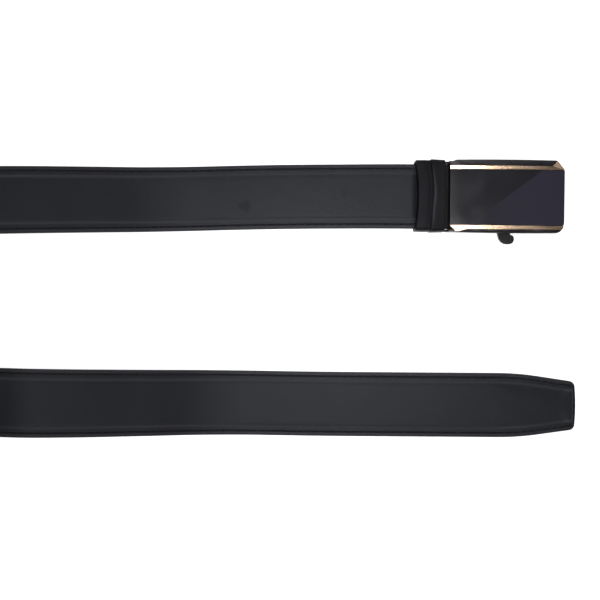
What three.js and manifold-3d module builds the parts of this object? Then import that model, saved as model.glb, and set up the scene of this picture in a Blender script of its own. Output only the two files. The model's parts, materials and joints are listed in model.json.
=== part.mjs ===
// A black faux leather dress belt with an automatic buckle, lying as it falls on a table: both ends lie flat with
// the outer face up, the two legs rise and turn onto their lower edge, and the bend between them stands upright.
// Millimetres. +X runs along the legs towards the buckle and the tip, +Y towards the buckle leg, +Z up.
// The origin is the bottom centre of the belt's box.
import * as THREE from "three";
import { mergeVertices } from "three/addons/utils/BufferGeometryUtils.js";
import Module from "manifold-3d";

const wasm = await Module();
wasm.setup();

// Driving sizes
const clearance = 0.3; // between two neighbouring pieces
const past = 3; // how far a cutter reaches beyond what it cuts

const strap = {
  length: 1137, // from the tip to the cut end in the clamp
  width: 35,
  border: 2.6, // thickness along the edge
  padding: 0.7, // height of the raised panel above the border
  pressed: 2.3, // thickness of the end that is pressed in the clamp
  pressedLength: 16,
  pressedRamp: 6, // over which the strap thins to it
  edgeRound: 0.5,
};
const stitchGroove = { inset: 2.4, width: 0.9, depth: 0.25 };
const panelShoulder = { start: 4.6, end: 7.2 }; // inset from the strap's edge
const tip = { length: 42, knee: 0.52, endWidth: 26, cornerRadius: 2.7, bow: 0.5, paddingEnd: 6, overhang: 74 };
const track = { start: 46, teeth: 31, pitch: 6.35, width: 10, depth: 1.7, tooth: 0.7, cover: 0.15 };

const bend = { halfLength: 81.5, sharpness: 1.5, spread: 2.1, spreadEnd: 360, parallelFrom: 500 };
const buckleLeg = { side: 1, crest: 29, flatFrom: 405, endTurn: -0.6, turnFrom: 470, turnTo: 500 };
const tipLeg = { side: -1, crest: 37, flatFrom: 438, endTurn: 0.4, turnFrom: 360, turnTo: 500 };
const seatRamp = { length: 60, level: 2 }; // up to the clamp: before the strap's cut end, and before the pressed end

const keeper = {
  length: 16.2,
  wall: 1.3,
  sideRoom: 0.4, // beside the strap
  tipGap: 4.4, // height left for the tip over the clamp
  cornerRadius: 1.3,
  ridge: 0.45, // the step over the clamp's edge
  ridgeAt: 9.6, // from the loop's left edge
  waist: 1.9, // how far the left edge bows in on top
  standOff: 0.7, // from the strap's cut end
};
const clamp = { jaw: 0.8, jawLength: 14.5, sideInset: 0.1, backWall: 1 };
const hinge = { x: 2.9, z: 3, radius: 2, pinRadius: 1 }; // x from the strap's cut end
const buckle = {
  start: 2, // the plate's left end from the strap's cut end
  length: 61.4,
  sideRoom: 0.4, // beside the strap
  wall: 1.1,
  rimOver: 0.9, // how far the rim stands out over the walls
  barrel: 0.35, // how far each long edge bulges
  underRoof: 9.7,
  roof: 0.6,
  crown: 0.6,
  rimTop: 11,
  faceTop: 11.7,
  channelFloor: 4.4,
  guideBar: { fromEnd: 4, width: 2.5 },
  stopBar: { width: 2.8, drop: 0.4 }, // below the hinge's axis
};
// offset: how far the face's middle lies from the rim's, towards -Y
const face = { inset: 3, offset: 0.8, creaseSlope: 0.747, creaseTilt: 0.012, endBevel: 1.6, endDrop: 0.4 };
const trimWidth = 2.1;
const lever = { x: 22, z: 3, radius: 2, pinRadius: 0.9, arm: 12, thickness: 1.8, toothTop: 5.5, toothWidth: 1.8 };
const tab = { thickness: 2.2, bottom: 3, standOut: 6.5, sideRoom: 0.8 };

// The strap's attitude along a leg. along: share of the way from the top of the bend (0) to where the strap lies
// flat (1). roll: share of a right angle. lift: height of the lower edge as a share of the leg's crest.
const attitude = [
  { along: 0.0, roll: 1.0, lift: 0.0 },
  { along: 0.2, roll: 1.0, lift: 0.0 },
  { along: 0.3, roll: 0.93, lift: 0.05 },
  { along: 0.4, roll: 0.72, lift: 0.25 },
  { along: 0.5, roll: 0.4, lift: 0.6 },
  { along: 0.6, roll: 0.12, lift: 0.9 },
  { along: 0.69, roll: 0.0, lift: 1.0 },
  { along: 0.76, roll: 0.0, lift: 0.82 },
  { along: 0.84, roll: 0.0, lift: 0.48 },
  { along: 0.92, roll: 0.0, lift: 0.14 },
  { along: 1.0, roll: 0.0, lift: 0.0 },
];

// Corner cuts of the buckle's outline, from its centre: two ends of each cut as shares of the half length and of
// the half width of the rim. The lower right corner is round, in three cuts.
const cornerCuts = [
  { x1: 0.86, y1: 1.0, x2: 1.0, y2: 0.71 },
  { x1: 1.0, y1: -0.7, x2: 0.975, y2: -0.86 },
  { x1: 0.975, y1: -0.86, x2: 0.93, y2: -0.95 },
  { x1: 0.93, y1: -0.95, x2: 0.85, y2: -1.0 },
  { x1: -0.86, y1: -1.0, x2: -1.0, y2: -0.79 },
  { x1: -1.0, y1: 0.9, x2: -0.86, y2: 1.0 },
];

// The gold bevels, each drawn on the +Y side and the lower one turned half round, and where each widens into its
// corner facet: shares of the buckle's half length and of the rim's half width.
const upperBevel = { way: 1, from: 0.8, outerX: 0.87, outerY: 0.95 };
const lowerBevel = { way: -1, from: 0.71, outerX: 0.82, outerY: 0.95 };

const smooth = (low, high, value) => THREE.MathUtils.smoothstep(value, low, high);

// One column of the attitude table at a share of the way, on a curve that keeps level at the table's level rows
function attitudeAt(column, share) {
  if (share >= 1) return attitude.at(-1)[column];
  const next = Math.max(1, attitude.findIndex((row) => row.along > share));
  const slope = (i) => {
    const before = attitude[i - 1];
    const after = attitude[i + 1];
    if (!before || !after) return 0;
    const rise = (attitude[i][column] - before[column]) * (after[column] - attitude[i][column]);
    return rise <= 0 ? 0 : (after[column] - before[column]) / (after.along - before.along);
  };
  const from = attitude[next - 1];
  const to = attitude[next];
  const span = to.along - from.along;
  const t = (share - from.along) / span;
  const early = (1 - t) ** 2;
  return (
    from[column] * (1 + 2 * t) * early +
    to[column] * t * t * (3 - 2 * t) +
    slope(next - 1) * span * t * early -
    slope(next) * span * t * t * (1 - t)
  );
}

// Widths that follow the strap's
const keeperInner = strap.width + 2 * keeper.sideRoom;
const clampWidth = strap.width - 2 * clamp.sideInset;
const wallInner = strap.width / 2 + buckle.sideRoom;
const wallOuter = wallInner + buckle.wall;
const halfRim = wallOuter + buckle.rimOver;
const faceHalf = wallInner - face.inset;
// The face's long edge on the +Y side (way 1) or on the other (way -1)
const faceEdge = (way) => faceHalf - way * face.offset;

// Lengths of the two legs, measured from the top of the bend
const buckleLegLength = (strap.length - tip.overhang) / 2;
const tipLegLength = buckleLegLength + tip.overhang;
const seat = keeper.wall + clearance + clamp.jaw + clearance; // the strap's back in the clamp
const seatRise = {
  from: buckleLegLength - seatRamp.length,
  to: buckleLegLength - strap.pressedLength - seatRamp.level,
};

function headingAt(leg, u) {
  const spread = THREE.MathUtils.degToRad(bend.spread);
  if (u < bend.halfLength) {
    const rest = (1 - u / bend.halfLength) ** bend.sharpness;
    return (Math.PI / 2) * rest + spread * (1 - rest);
  }
  const turn = THREE.MathUtils.degToRad(leg.endTurn) * smooth(leg.turnFrom, leg.turnTo, u);
  return spread * (1 - smooth(bend.spreadEnd, bend.parallelFrom, u)) + turn;
}

function heightAt(leg, u) {
  const share = u / leg.flatFrom;
  const roll = attitudeAt("roll", share) * (Math.PI / 2);
  const rise = leg === buckleLeg ? seat * smooth(seatRise.from, seatRise.to, u) : 0;
  return attitudeAt("lift", share) * leg.crest + (strap.width / 2) * Math.sin(roll) + rise;
}

// Walks out from the top of the bend in short steps and keeps the middle of the strap's back face
function walkLeg(leg, length) {
  const step = 2;
  const points = [new THREE.Vector3(0, 0, heightAt(leg, 0))];
  for (let u = step; u <= length + 2 * step; u += step) {
    const rise = heightAt(leg, u) - heightAt(leg, u - step);
    const run = Math.sqrt(step * step - rise * rise);
    const heading = headingAt(leg, u - step / 2);
    const last = points.at(-1);
    points.push(
      new THREE.Vector3(
        last.x + run * Math.cos(heading),
        last.y + leg.side * run * Math.sin(heading),
        last.z + rise,
      ),
    );
  }
  return { step, points };
}
const walks = new Map([
  [buckleLeg, walkLeg(buckleLeg, buckleLegLength)],
  [tipLeg, walkLeg(tipLeg, tipLegLength)],
]);

// The strap's own axes at a distance s from the tip: centre of the back face, across (towards the lower edge
// of the bend), and out of the outer face
function frameAt(s) {
  const leg = s < tipLegLength ? tipLeg : buckleLeg;
  const u = Math.abs(s - tipLegLength);
  const { step, points } = walks.get(leg);
  const index = Math.min(Math.floor(u / step), points.length - 2);
  const centre = points[index].clone().lerp(points[index + 1], u / step - index);
  const before = points[Math.max(index - 1, 0)];
  const after = points[Math.min(index + 2, points.length - 1)];
  const tangent = after.clone().sub(before);
  if (index === 0) tangent.set(0, leg.side, 0);
  tangent.normalize();
  const outward = new THREE.Vector3(-leg.side * tangent.y, leg.side * tangent.x, 0).normalize();
  const up = new THREE.Vector3().crossVectors(tangent, outward).multiplyScalar(leg.side).normalize();
  const roll = attitudeAt("roll", u / leg.flatFrom) * (Math.PI / 2);
  const across = outward.clone().multiplyScalar(Math.cos(roll)).addScaledVector(up, -Math.sin(roll));
  const out = up.clone().multiplyScalar(Math.cos(roll)).addScaledVector(outward, Math.sin(roll));
  return { centre, across, out, along: tangent.multiplyScalar(leg.side) };
}

// Solids from rings of points: each ring has the same number of points, and the ends are capped unless the rings
// run round into each other
function loftRings(rings, endless = false) {
  const count = rings[0].length;
  const faces = [];
  const spans = endless ? rings.length : rings.length - 1;
  for (let i = 0; i < spans; i++) {
    const a = i * count;
    const b = ((i + 1) % rings.length) * count;
    for (let j = 0; j < count; j++) {
      const k = (j + 1) % count;
      faces.push(a + j, a + k, b + k, a + j, b + k, b + j);
    }
  }
  if (!endless) {
    const flat = capOutline(rings[0]);
    const last = (rings.length - 1) * count;
    for (const [p, q, r] of THREE.ShapeUtils.triangulateShape(flat, [])) {
      faces.push(r, q, p, last + p, last + q, last + r);
    }
  }
  const geometry = new THREE.BufferGeometry();
  const positions = rings.flat().flatMap((p) => [p.x, p.y, p.z]);
  geometry.setAttribute("position", new THREE.Float32BufferAttribute(positions, 3));
  geometry.setIndex(faces);
  return facingOut(geometry);
}

// A ring's points on its own plane
function capOutline(ring) {
  const centre = ring.reduce((sum, p) => sum.add(p), new THREE.Vector3()).divideScalar(ring.length);
  const normal = new THREE.Vector3();
  ring.forEach((p, i) => {
    const q = ring[(i + 1) % ring.length];
    normal.add(p.clone().sub(centre).cross(q.clone().sub(centre)));
  });
  const right = ring[1].clone().sub(ring[0]).normalize();
  const upward = normal.normalize().clone().cross(right);
  return ring.map((p) => new THREE.Vector2(p.clone().sub(centre).dot(right), p.clone().sub(centre).dot(upward)));
}

function signedVolume(geometry) {
  const at = geometry.getAttribute("position");
  const corner = (i) => new THREE.Vector3().fromBufferAttribute(at, geometry.index.getX(i));
  let total = 0;
  for (let i = 0; i < geometry.index.count; i += 3) {
    total += corner(i).dot(corner(i + 1).cross(corner(i + 2)));
  }
  return total / 6;
}

function facingOut(geometry) {
  if (signedVolume(geometry) < 0) geometry.index.array.reverse();
  return geometry;
}

// Cuts and joins
function solidOf(geometry) {
  const bare = geometry.clone();
  bare.deleteAttribute("normal");
  bare.deleteAttribute("uv");
  const merged = mergeVertices(bare, 1e-4);
  return new wasm.Manifold(
    new wasm.Mesh({
      numProp: 3,
      vertProperties: new Float32Array(merged.attributes.position.array),
      triVerts: new Uint32Array(merged.index.array),
    }),
  );
}

function geometryOf(solid) {
  const mesh = solid.getMesh();
  const geometry = new THREE.BufferGeometry();
  geometry.setAttribute("position", new THREE.Float32BufferAttribute(mesh.vertProperties, 3));
  geometry.setIndex(new THREE.Uint32BufferAttribute(mesh.triVerts, 1));
  return geometry;
}

const joined = (...geometries) => geometries.map(solidOf).reduce((sum, next) => sum.add(next));
const cut = (solid, ...cutters) => cutters.reduce((rest, cutter) => rest.subtract(solidOf(cutter)), solid);

// A box between two corners
function boxBetween(low, high) {
  const size = high.map((value, i) => value - low[i]);
  const middle = high.map((value, i) => (value + low[i]) / 2);
  return new THREE.BoxGeometry(...size).translate(...middle);
}

// A round bar along Y
function barAcross(radius, length, x, z, sides = 16) {
  return new THREE.CylinderGeometry(radius, radius, length, sides).translate(x, 0, z);
}

// A shape drawn in X and Z, extruded to a width along Y about the middle
function extrudeAcross(shape, width) {
  const geometry = new THREE.ExtrudeGeometry(shape, { depth: width, bevelEnabled: false, curveSegments: 8 });
  return geometry.rotateX(Math.PI / 2).translate(0, width / 2, 0);
}

// A plan outline with its own top and bottom surface
function plateBetween(outline, bottom, top) {
  const geometry = new THREE.ExtrudeGeometry(new THREE.Shape(outline), { depth: 1, bevelEnabled: false });
  const at = geometry.getAttribute("position");
  for (let i = 0; i < at.count; i++) {
    const surface = at.getZ(i) > 0.5 ? top : bottom;
    at.setZ(i, surface(at.getX(i), at.getY(i)));
  }
  return geometry;
}

// Strap

const pressedFrom = strap.length - strap.pressedLength;

function halfWidthAt(s) {
  const full = strap.width / 2;
  if (s >= tip.length) return full;
  const soft = tip.knee; // share of the taper over which its edge bends inwards
  const share = 1 - s / tip.length;
  const narrowing = (share < soft ? share ** 2 / (2 * soft) : share - soft / 2) / (1 - soft / 2);
  const tapered = full - (full - tip.endWidth / 2) * narrowing;
  const r = tip.cornerRadius;
  return s >= r ? tapered : tapered - r + Math.sqrt(r * r - (r - s) ** 2);
}

// The strap's section at s: points across (a) and out of the back face (n)
function strapSection(s) {
  const half = halfWidthAt(s);
  const pressed = smooth(pressedFrom - strap.pressedRamp, pressedFrom, s);
  const border = strap.border + (strap.pressed - strap.border) * pressed;
  const padding = strap.padding * smooth(0, tip.paddingEnd, s) * (1 - pressed);
  const groove = stitchGroove.depth * (1 - pressed);
  const middle = (panelShoulder.start + panelShoulder.end) / 2;
  const side = [
    { inset: strap.edgeRound, n: 0 },
    { inset: 0, n: strap.edgeRound },
    { inset: 0, n: border - strap.edgeRound },
    { inset: strap.edgeRound, n: border },
    { inset: stitchGroove.inset - stitchGroove.width / 2, n: border },
    { inset: stitchGroove.inset, n: border - groove },
    { inset: stitchGroove.inset + stitchGroove.width / 2, n: border },
    { inset: panelShoulder.start, n: border },
    { inset: middle, n: border + 0.7 * padding },
    { inset: panelShoulder.end, n: border + padding },
  ];
  const right = side.map(({ inset, n }) => ({ a: half - inset, n }));
  const left = right.map(({ a, n }) => ({ a: -a, n })).reverse();
  return [...right, ...left];
}

// Places a section of the strap's own coordinates in space
function placeSection(section, s) {
  const { centre, across, out, along } = frameAt(s);
  return section.map(({ a, n, ahead = 0 }) =>
    centre.clone().addScaledVector(across, a).addScaledVector(out, n).addScaledVector(along, ahead),
  );
}

// Distances from the tip: close together where the strap bends or narrows
function strapStations() {
  const stations = [0, 0.4, 1.2, tip.cornerRadius, tip.paddingEnd, tip.length * 0.5, tip.length * 0.8];
  const steps = [
    { within: bend.halfLength, step: 6 },
    { within: tipLeg.flatFrom * 1.02, step: 10 },
    { within: Infinity, step: 20 },
  ];
  for (let s = tip.length; s < pressedFrom - strap.pressedRamp; ) {
    stations.push(s);
    const u = Math.abs(s - tipLegLength);
    s += steps.find((row) => u <= row.within).step;
  }
  const ramp = [1, 0.5, 0].map((share) => pressedFrom - share * strap.pressedRamp);
  return [...stations, ...ramp, strap.length];
}

// The tip's end bows out a little in its middle
function bowed(section, s) {
  const reach = tip.bow * (1 - smooth(0, tip.paddingEnd, s));
  const half = halfWidthAt(s);
  return section.map((p) => ({ ...p, ahead: -reach * (1 - (p.a / half) ** 2) }));
}

function trackSection(from, to, width) {
  return [
    { a: -width / 2, n: from },
    { a: width / 2, n: from },
    { a: width / 2, n: to },
    { a: -width / 2, n: to },
  ];
}

function strapGeometry() {
  const body = loftRings(strapStations().map((s) => placeSection(bowed(strapSection(s), s), s)));
  const stations = Array.from({ length: track.teeth + 1 }, (_, i) => track.start + i * track.pitch);
  stations[0] -= clearance;
  stations[track.teeth] += clearance;
  const width = track.width + 2 * clearance;
  const groove = loftRings(stations.map((s) => placeSection(trackSection(-1, track.depth, width), s)));
  return geometryOf(cut(solidOf(body), groove));
}

// A saw-toothed strip: each tooth rises slowly and drops off steeply
function trackGeometry() {
  const top = track.depth - clearance;
  const root = track.cover + track.tooth;
  const rings = [];
  for (let i = 0; i < track.teeth; i++) {
    const s = track.start + i * track.pitch;
    rings.push(placeSection(trackSection(root, top, track.width), s));
    rings.push(placeSection(trackSection(track.cover, top, track.width), s + track.pitch * 0.85));
  }
  rings.push(placeSection(trackSection(root, top, track.width), track.start + track.teeth * track.pitch));
  return loftRings(rings);
}

// Keeper loop: a wall's lengthwise section, carried round the loop

function keeperGeometry() {
  const bottom = keeper.wall;
  const top = seat + strap.pressed + clearance + clamp.jaw + keeper.tipGap;
  const half = keeperInner / 2;
  const r = keeper.cornerRadius;
  const corners = [
    { y: half - r, z: bottom + r, turn: -90 },
    { y: half - r, z: top - r, turn: 0 },
    { y: r - half, z: top - r, turn: 90 },
    { y: r - half, z: bottom + r, turn: 180 },
  ];
  const path = corners.flatMap(({ y, z, turn }, i) => {
    const arc = [0, 30, 60, 90].map((more) => {
      const angle = THREE.MathUtils.degToRad(turn + more);
      return { y: y + r * Math.cos(angle), z: z + r * Math.sin(angle), ny: Math.cos(angle), nz: Math.sin(angle) };
    });
    const between = i === 1 ? [0.75, 0.5, 0.25, 0, -0.25, -0.5, -0.75] : [];
    return [...arc, ...between.map((share) => ({ y: share * (half - r), z: top, ny: 0, nz: 1 }))];
  });
  const rounding = 0.4;
  const ramp = 1.2;
  const wallLine = [
    { x: 0, out: 0, ridge: 0 },
    { x: 0, out: 1 - rounding / keeper.wall, ridge: 0 },
    { x: rounding, out: 1, ridge: 0 },
    { x: keeper.ridgeAt - ramp, out: 1, ridge: 0 },
    { x: keeper.ridgeAt, out: 1, ridge: 1 },
    { x: keeper.length - 3, out: 1, ridge: 0.8 },
    { x: keeper.length - rounding, out: 1, ridge: 0 },
    { x: keeper.length, out: 1 - rounding / keeper.wall, ridge: 0 },
    { x: keeper.length, out: 0, ridge: 0 },
  ];
  const start = -keeper.standOff - keeper.length;
  const rings = path.map(({ y, z, ny, nz }) => {
    const onTop = smooth(0.3, 1, nz) * (1 - (y / half) ** 2);
    const raised = keeper.ridge * smooth(-0.5, 0.5, nz);
    return wallLine.map(({ x, out, ridge }) => {
      const reach = keeper.wall * out + raised * ridge;
      const shift = keeper.waist * onTop * (1 - x / keeper.length);
      return new THREE.Vector3(start + x + shift, y + ny * reach, z + nz * reach);
    });
  });
  return loftRings(rings, true);
}

// Clamp: two jaws, the wall behind the strap's end and the knuckle round the hinge pin

function clampGeometry() {
  const bottom = keeper.wall + clearance;
  const top = seat + strap.pressed + clearance + clamp.jaw;
  const mouth = -clamp.jawLength;
  const inner = clearance;
  const outer = inner + clamp.backWall;
  const section = new THREE.Shape();
  section.moveTo(mouth, bottom);
  section.lineTo(outer, bottom);
  section.lineTo(outer, hinge.z - hinge.radius);
  section.lineTo(hinge.x + hinge.radius, hinge.z - hinge.radius);
  section.lineTo(hinge.x + hinge.radius, hinge.z);
  section.absarc(hinge.x, hinge.z, hinge.radius, 0, Math.PI / 2, false);
  section.lineTo(outer, hinge.z + hinge.radius);
  section.lineTo(outer, top);
  section.lineTo(mouth, top);
  section.lineTo(mouth, top - clamp.jaw);
  section.lineTo(inner, top - clamp.jaw);
  section.lineTo(inner, bottom + clamp.jaw);
  section.lineTo(mouth, bottom + clamp.jaw);
  section.closePath();
  const bore = new THREE.Path();
  bore.absarc(hinge.x, hinge.z, hinge.pinRadius + clearance, 0, 2 * Math.PI, true);
  section.holes.push(bore);
  return extrudeAcross(section, clampWidth);
}

// Buckle: everything below is drawn from the middle of its length, and moved to its place at the end

const halfLength = buckle.length / 2;
const buckleMiddle = buckle.start + halfLength;
const crownAt = (x) => buckle.crown * (1 - (x / halfLength) ** 2);
const lengthStations = [-1, -0.8, -0.55, -0.28, 0, 0.28, 0.55, 0.8, 1];

// Cuts off the corners, a little past the outline: through the walls too at the end where the tip goes in, and
// above the hinge's ears at the other
function cornerCutters() {
  return cornerCuts.map(({ x1, y1, x2, y2 }) => {
    const from = new THREE.Vector2(x1 * halfLength, y1 * halfRim);
    const to = new THREE.Vector2(x2 * halfLength, y2 * halfRim);
    const line = to.clone().sub(from);
    const away = new THREE.Vector2(line.y, -line.x).normalize();
    if (away.dot(from) < 0) away.negate();
    const ends = [from.clone().sub(line), to.clone().add(line)];
    const outline = [...ends, ...ends.map((end) => end.clone().addScaledVector(away, halfRim)).reverse()];
    const foot = x1 > 0 ? -1 : buckle.underRoof - 1.5;
    return plateBetween(outline, () => foot, () => buckle.faceTop + past);
  });
}

// The outer edge of a gold bevel at a share of the half length: straight, then out along the corner facet
function bevelOuterAt(bevel, share) {
  const straight = faceEdge(bevel.way) + trimWidth;
  const corner = bevel.outerY * halfRim;
  const out = THREE.MathUtils.clamp((share - bevel.from) / (bevel.outerX - bevel.from), 0, 1);
  return straight + (corner - straight) * out;
}
const sorted = (shares) => [...new Set(shares)].sort((a, b) => a - b);
const facetEnds = [upperBevel, lowerBevel].flatMap((bevel) => [bevel.from, bevel.outerX]);
const bevelStations = sorted([...lengthStations, ...facetEnds]);

function frameSection(share) {
  const x = share * halfLength;
  const rim = halfRim + buckle.barrel * (1 - share ** 2) - buckle.barrel;
  const crown = crownAt(x);
  const side = (way) => [
    { y: wallInner, z: 0 },
    { y: wallOuter, z: 0 },
    { y: wallOuter, z: buckle.underRoof - 1 },
    { y: rim, z: buckle.underRoof - 0.3 },
    { y: rim - 0.3, z: buckle.underRoof + 0.5 },
    { y: faceEdge(way) + trimWidth, z: buckle.rimTop + crown },
  ];
  const under = { y: -wallInner, z: buckle.underRoof };
  const left = side(-1).map(({ y, z }) => ({ y: -y, z })).reverse();
  return [...side(1), ...left, under, { y: wallInner, z: buckle.underRoof }].map(
    ({ y, z }) => new THREE.Vector3(x, y, z),
  );
}

function frameGeometry() {
  const channel = loftRings(lengthStations.map(frameSection));
  const hingeX = hinge.x - buckleMiddle;
  const leverX = lever.x - buckleMiddle;
  const wall = wallOuter - wallInner;
  const wallMiddle = (wallOuter + wallInner) / 2;
  const ears = [-1, 1].map((side) =>
    barAcross(hinge.z, wall, hingeX, hinge.z, 24).translate(0, side * wallMiddle, 0),
  );
  const { guideBar, stopBar } = buckle;
  const inside = wallInner + wall / 2;
  const guideEnd = halfLength - guideBar.fromEnd;
  const stop = hingeX + hinge.radius + clearance;
  const bars = [
    boxBetween([stop, -inside, 0], [stop + stopBar.width, inside, hinge.z - stopBar.drop]),
    boxBetween([guideEnd - guideBar.width, -inside, 0], [guideEnd, inside, buckle.channelFloor]),
  ];
  const deck = buckle.underRoof + buckle.roof;
  const pocketStations = sorted(bevelStations.flatMap((share) => [share, -share]));
  const pocketRing = (share) => {
    const x = share * halfLength * (Math.abs(share) === 1 ? 1 + clearance / halfLength : 1);
    const upper = bevelOuterAt(upperBevel, share) + clearance;
    const lower = -bevelOuterAt(lowerBevel, -share) - clearance;
    const floor = deck + crownAt(share * halfLength);
    const above = buckle.faceTop + past;
    return [
      new THREE.Vector3(x, lower, floor),
      new THREE.Vector3(x, upper, floor),
      new THREE.Vector3(x, upper, above),
      new THREE.Vector3(x, lower, above),
    ];
  };
  const pocket = loftRings(pocketStations.map(pocketRing));
  const notch = boxBetween(
    [tabLeft - tab.sideRoom, -wallOuter - 1, -1],
    [tabRight + tab.sideRoom, -wallInner + 0.5, tab.bottom + tab.thickness + clearance],
  );
  const bores = [
    barAcross(hinge.pinRadius + clearance, 2 * halfRim + past, hingeX, hinge.z),
    barAcross(lever.pinRadius + clearance, 2 * halfRim + past, leverX, lever.z),
  ];
  return geometryOf(cut(joined(channel, ...ears, ...bars), pocket, notch, ...bores, ...cornerCutters()));
}

// The face: two planes that meet in a shallow diagonal ridge, and a bevelled right end
function faceGeometry() {
  const low = clearance / 2 - faceEdge(-1);
  const high = faceEdge(1) - clearance / 2;
  const bottom = buckle.underRoof + buckle.roof + clearance;
  const bevelStart = halfLength - face.endBevel;
  // Close together where the ridge reaches the long edges
  const beside = (edge, shares) => shares.map((share) => (share * edge) / face.creaseSlope);
  const stations = [-halfLength, ...beside(low, [1.25, 1, 0.5]), 0, ...beside(high, [0.5, 1, 1.25]), bevelStart];
  const tilt = face.creaseTilt / Math.hypot(1, face.creaseSlope);
  const topAt = (x, y) => buckle.faceTop + crownAt(x) - tilt * Math.abs(y - face.creaseSlope * x);
  const ring = (x, drop) => {
    const crease = THREE.MathUtils.clamp(face.creaseSlope * x, low + 0.1, high - 0.1);
    const floor = bottom + crownAt(x);
    return [
      new THREE.Vector3(x, low, floor),
      new THREE.Vector3(x, high, floor),
      new THREE.Vector3(x, high, topAt(x, high) - drop),
      new THREE.Vector3(x, crease, topAt(x, crease) - drop),
      new THREE.Vector3(x, low, topAt(x, low) - drop),
    ];
  };
  const body = loftRings([...stations.map((x) => ring(x, 0)), ring(halfLength, face.endDrop)]);
  return geometryOf(cut(solidOf(body), ...cornerCutters()));
}

// A gold bevel: falls outwards from the face to the rim
function trimGeometry(bevel) {
  const edge = faceEdge(bevel.way);
  const inner = edge + clearance / 2;
  const bottom = buckle.underRoof + buckle.roof + clearance;
  const fall = (buckle.faceTop - buckle.rimTop) / trimWidth;
  const rings = bevelStations.map((share) => {
    const x = share * halfLength;
    const outer = bevelOuterAt(bevel, share);
    const crown = crownAt(x);
    const topAt = (y) => Math.max(buckle.faceTop - fall * (y - edge), bottom + 0.25) + crown;
    return [
      new THREE.Vector3(x, inner, bottom + crown),
      new THREE.Vector3(x, outer, bottom + crown),
      new THREE.Vector3(x, outer, topAt(outer)),
      new THREE.Vector3(x, inner, topAt(inner)),
    ];
  });
  const body = loftRings(rings);
  if (bevel.way < 0) body.rotateZ(Math.PI);
  return geometryOf(cut(solidOf(body), ...cornerCutters()));
}

// Release lever: a pawl plate on a barrel, with its tooth and the tab that stands out of the side

const tabShares = [
  { x: -0.15, y: 0 },
  { x: -0.128, y: 0.35 },
  { x: -0.112, y: 0.57 },
  { x: -0.1, y: 0.7 },
  { x: -0.064, y: 0.86 },
  { x: -0.01, y: 0.97 },
  { x: 0.055, y: 1 },
  { x: 0.12, y: 0.97 },
  { x: 0.154, y: 0.88 },
  { x: 0.17, y: 0.74 },
  { x: 0.167, y: 0.61 },
  { x: 0.15, y: 0.5 },
  { x: 0.1, y: 0.45 },
  { x: 0.1, y: 0 },
]; // x: share of the buckle's half length from its middle, y: share of the tab's reach past the wall's inside
const tabLeft = Math.min(...tabShares.map(({ x }) => x)) * halfLength;
const tabRight = Math.max(...tabShares.map(({ x }) => x)) * halfLength;

function leverGeometry() {
  const x = lever.x - buckleMiddle;
  const width = 2 * (wallInner - clearance);
  const armTop = lever.z + lever.thickness / 2;
  const armEnd = x + lever.arm;
  const section = new THREE.Shape();
  section.moveTo(x, armTop - lever.thickness);
  section.lineTo(armEnd, armTop - lever.thickness);
  section.lineTo(armEnd, lever.toothTop);
  section.lineTo(armEnd - lever.toothWidth * 0.4, lever.toothTop);
  section.lineTo(armEnd - lever.toothWidth, armTop);
  section.lineTo(x, armTop);
  section.closePath();
  const root = wallInner - 2;
  const outline = tabShares.map((p) => new THREE.Vector2(p.x * halfLength, -root - p.y * (wallOuter + tab.standOut - root)));
  const plate = plateBetween(outline, () => tab.bottom, () => tab.bottom + tab.thickness);
  const body = joined(extrudeAcross(section, width), barAcross(lever.radius, width, x, lever.z, 20), plate);
  return geometryOf(cut(body, barAcross(lever.pinRadius + clearance, width + past, x, lever.z)));
}

// Materials
const finishes = {
  leather: { color: 0x2c2b2f, roughness: 0.5, metalness: 0 },
  track: { color: 0x1b1b1d, roughness: 0.6, metalness: 0 },
  blackMetal: { color: 0x242328, roughness: 0.3, metalness: 0.6 },
  gloss: { color: 0x1c1a22, roughness: 0.08, metalness: 0.4 },
  roseGold: { color: 0xd9ae86, roughness: 0.2, metalness: 1 },
  steel: { color: 0x8d8d92, roughness: 0.35, metalness: 1 },
};

function piece(name, geometry, finish) {
  const mesh = new THREE.Mesh(geometry, new THREE.MeshStandardMaterial(finishes[finish]));
  mesh.name = name;
  return mesh;
}

// Assembly
const pinLength = 2 * wallOuter - 2 * clearance;
const plateGroup = new THREE.Group();
plateGroup.position.x = buckleMiddle;
plateGroup.add(
  piece("buckle_frame", frameGeometry(), "blackMetal"),
  piece("face_panel", faceGeometry(), "gloss"),
  piece("trim_upper", trimGeometry(upperBevel), "roseGold"),
  piece("trim_lower", trimGeometry(lowerBevel), "roseGold"),
  piece("release_lever", leverGeometry(), "blackMetal"),
  piece("lever_pin", barAcross(lever.pinRadius, pinLength, lever.x - buckleMiddle, lever.z), "steel"),
);

const buckleEnd = new THREE.Group();
const strapEnd = frameAt(strap.length);
buckleEnd.position.set(strapEnd.centre.x, strapEnd.centre.y, 0);
buckleEnd.rotation.z = Math.atan2(strapEnd.along.y, strapEnd.along.x);
buckleEnd.add(
  piece("keeper_loop", keeperGeometry(), "leather"),
  piece("clamp", clampGeometry(), "blackMetal"),
  piece("hinge_pin", barAcross(hinge.pinRadius, pinLength, hinge.x, hinge.z), "steel"),
  plateGroup,
);

const belt = new THREE.Group();
belt.add(piece("strap", strapGeometry(), "leather"), piece("ratchet_track", trackGeometry(), "track"), buckleEnd);
belt.updateMatrixWorld(true);
const box = new THREE.Box3().setFromObject(belt, true);
belt.position.set(-(box.min.x + box.max.x) / 2, -(box.min.y + box.max.y) / 2, 0);

export default belt;
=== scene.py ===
# A black faux leather belt with an automatic buckle: its looks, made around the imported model.
# Everything is in metres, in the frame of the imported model.
import json
import math

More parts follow.
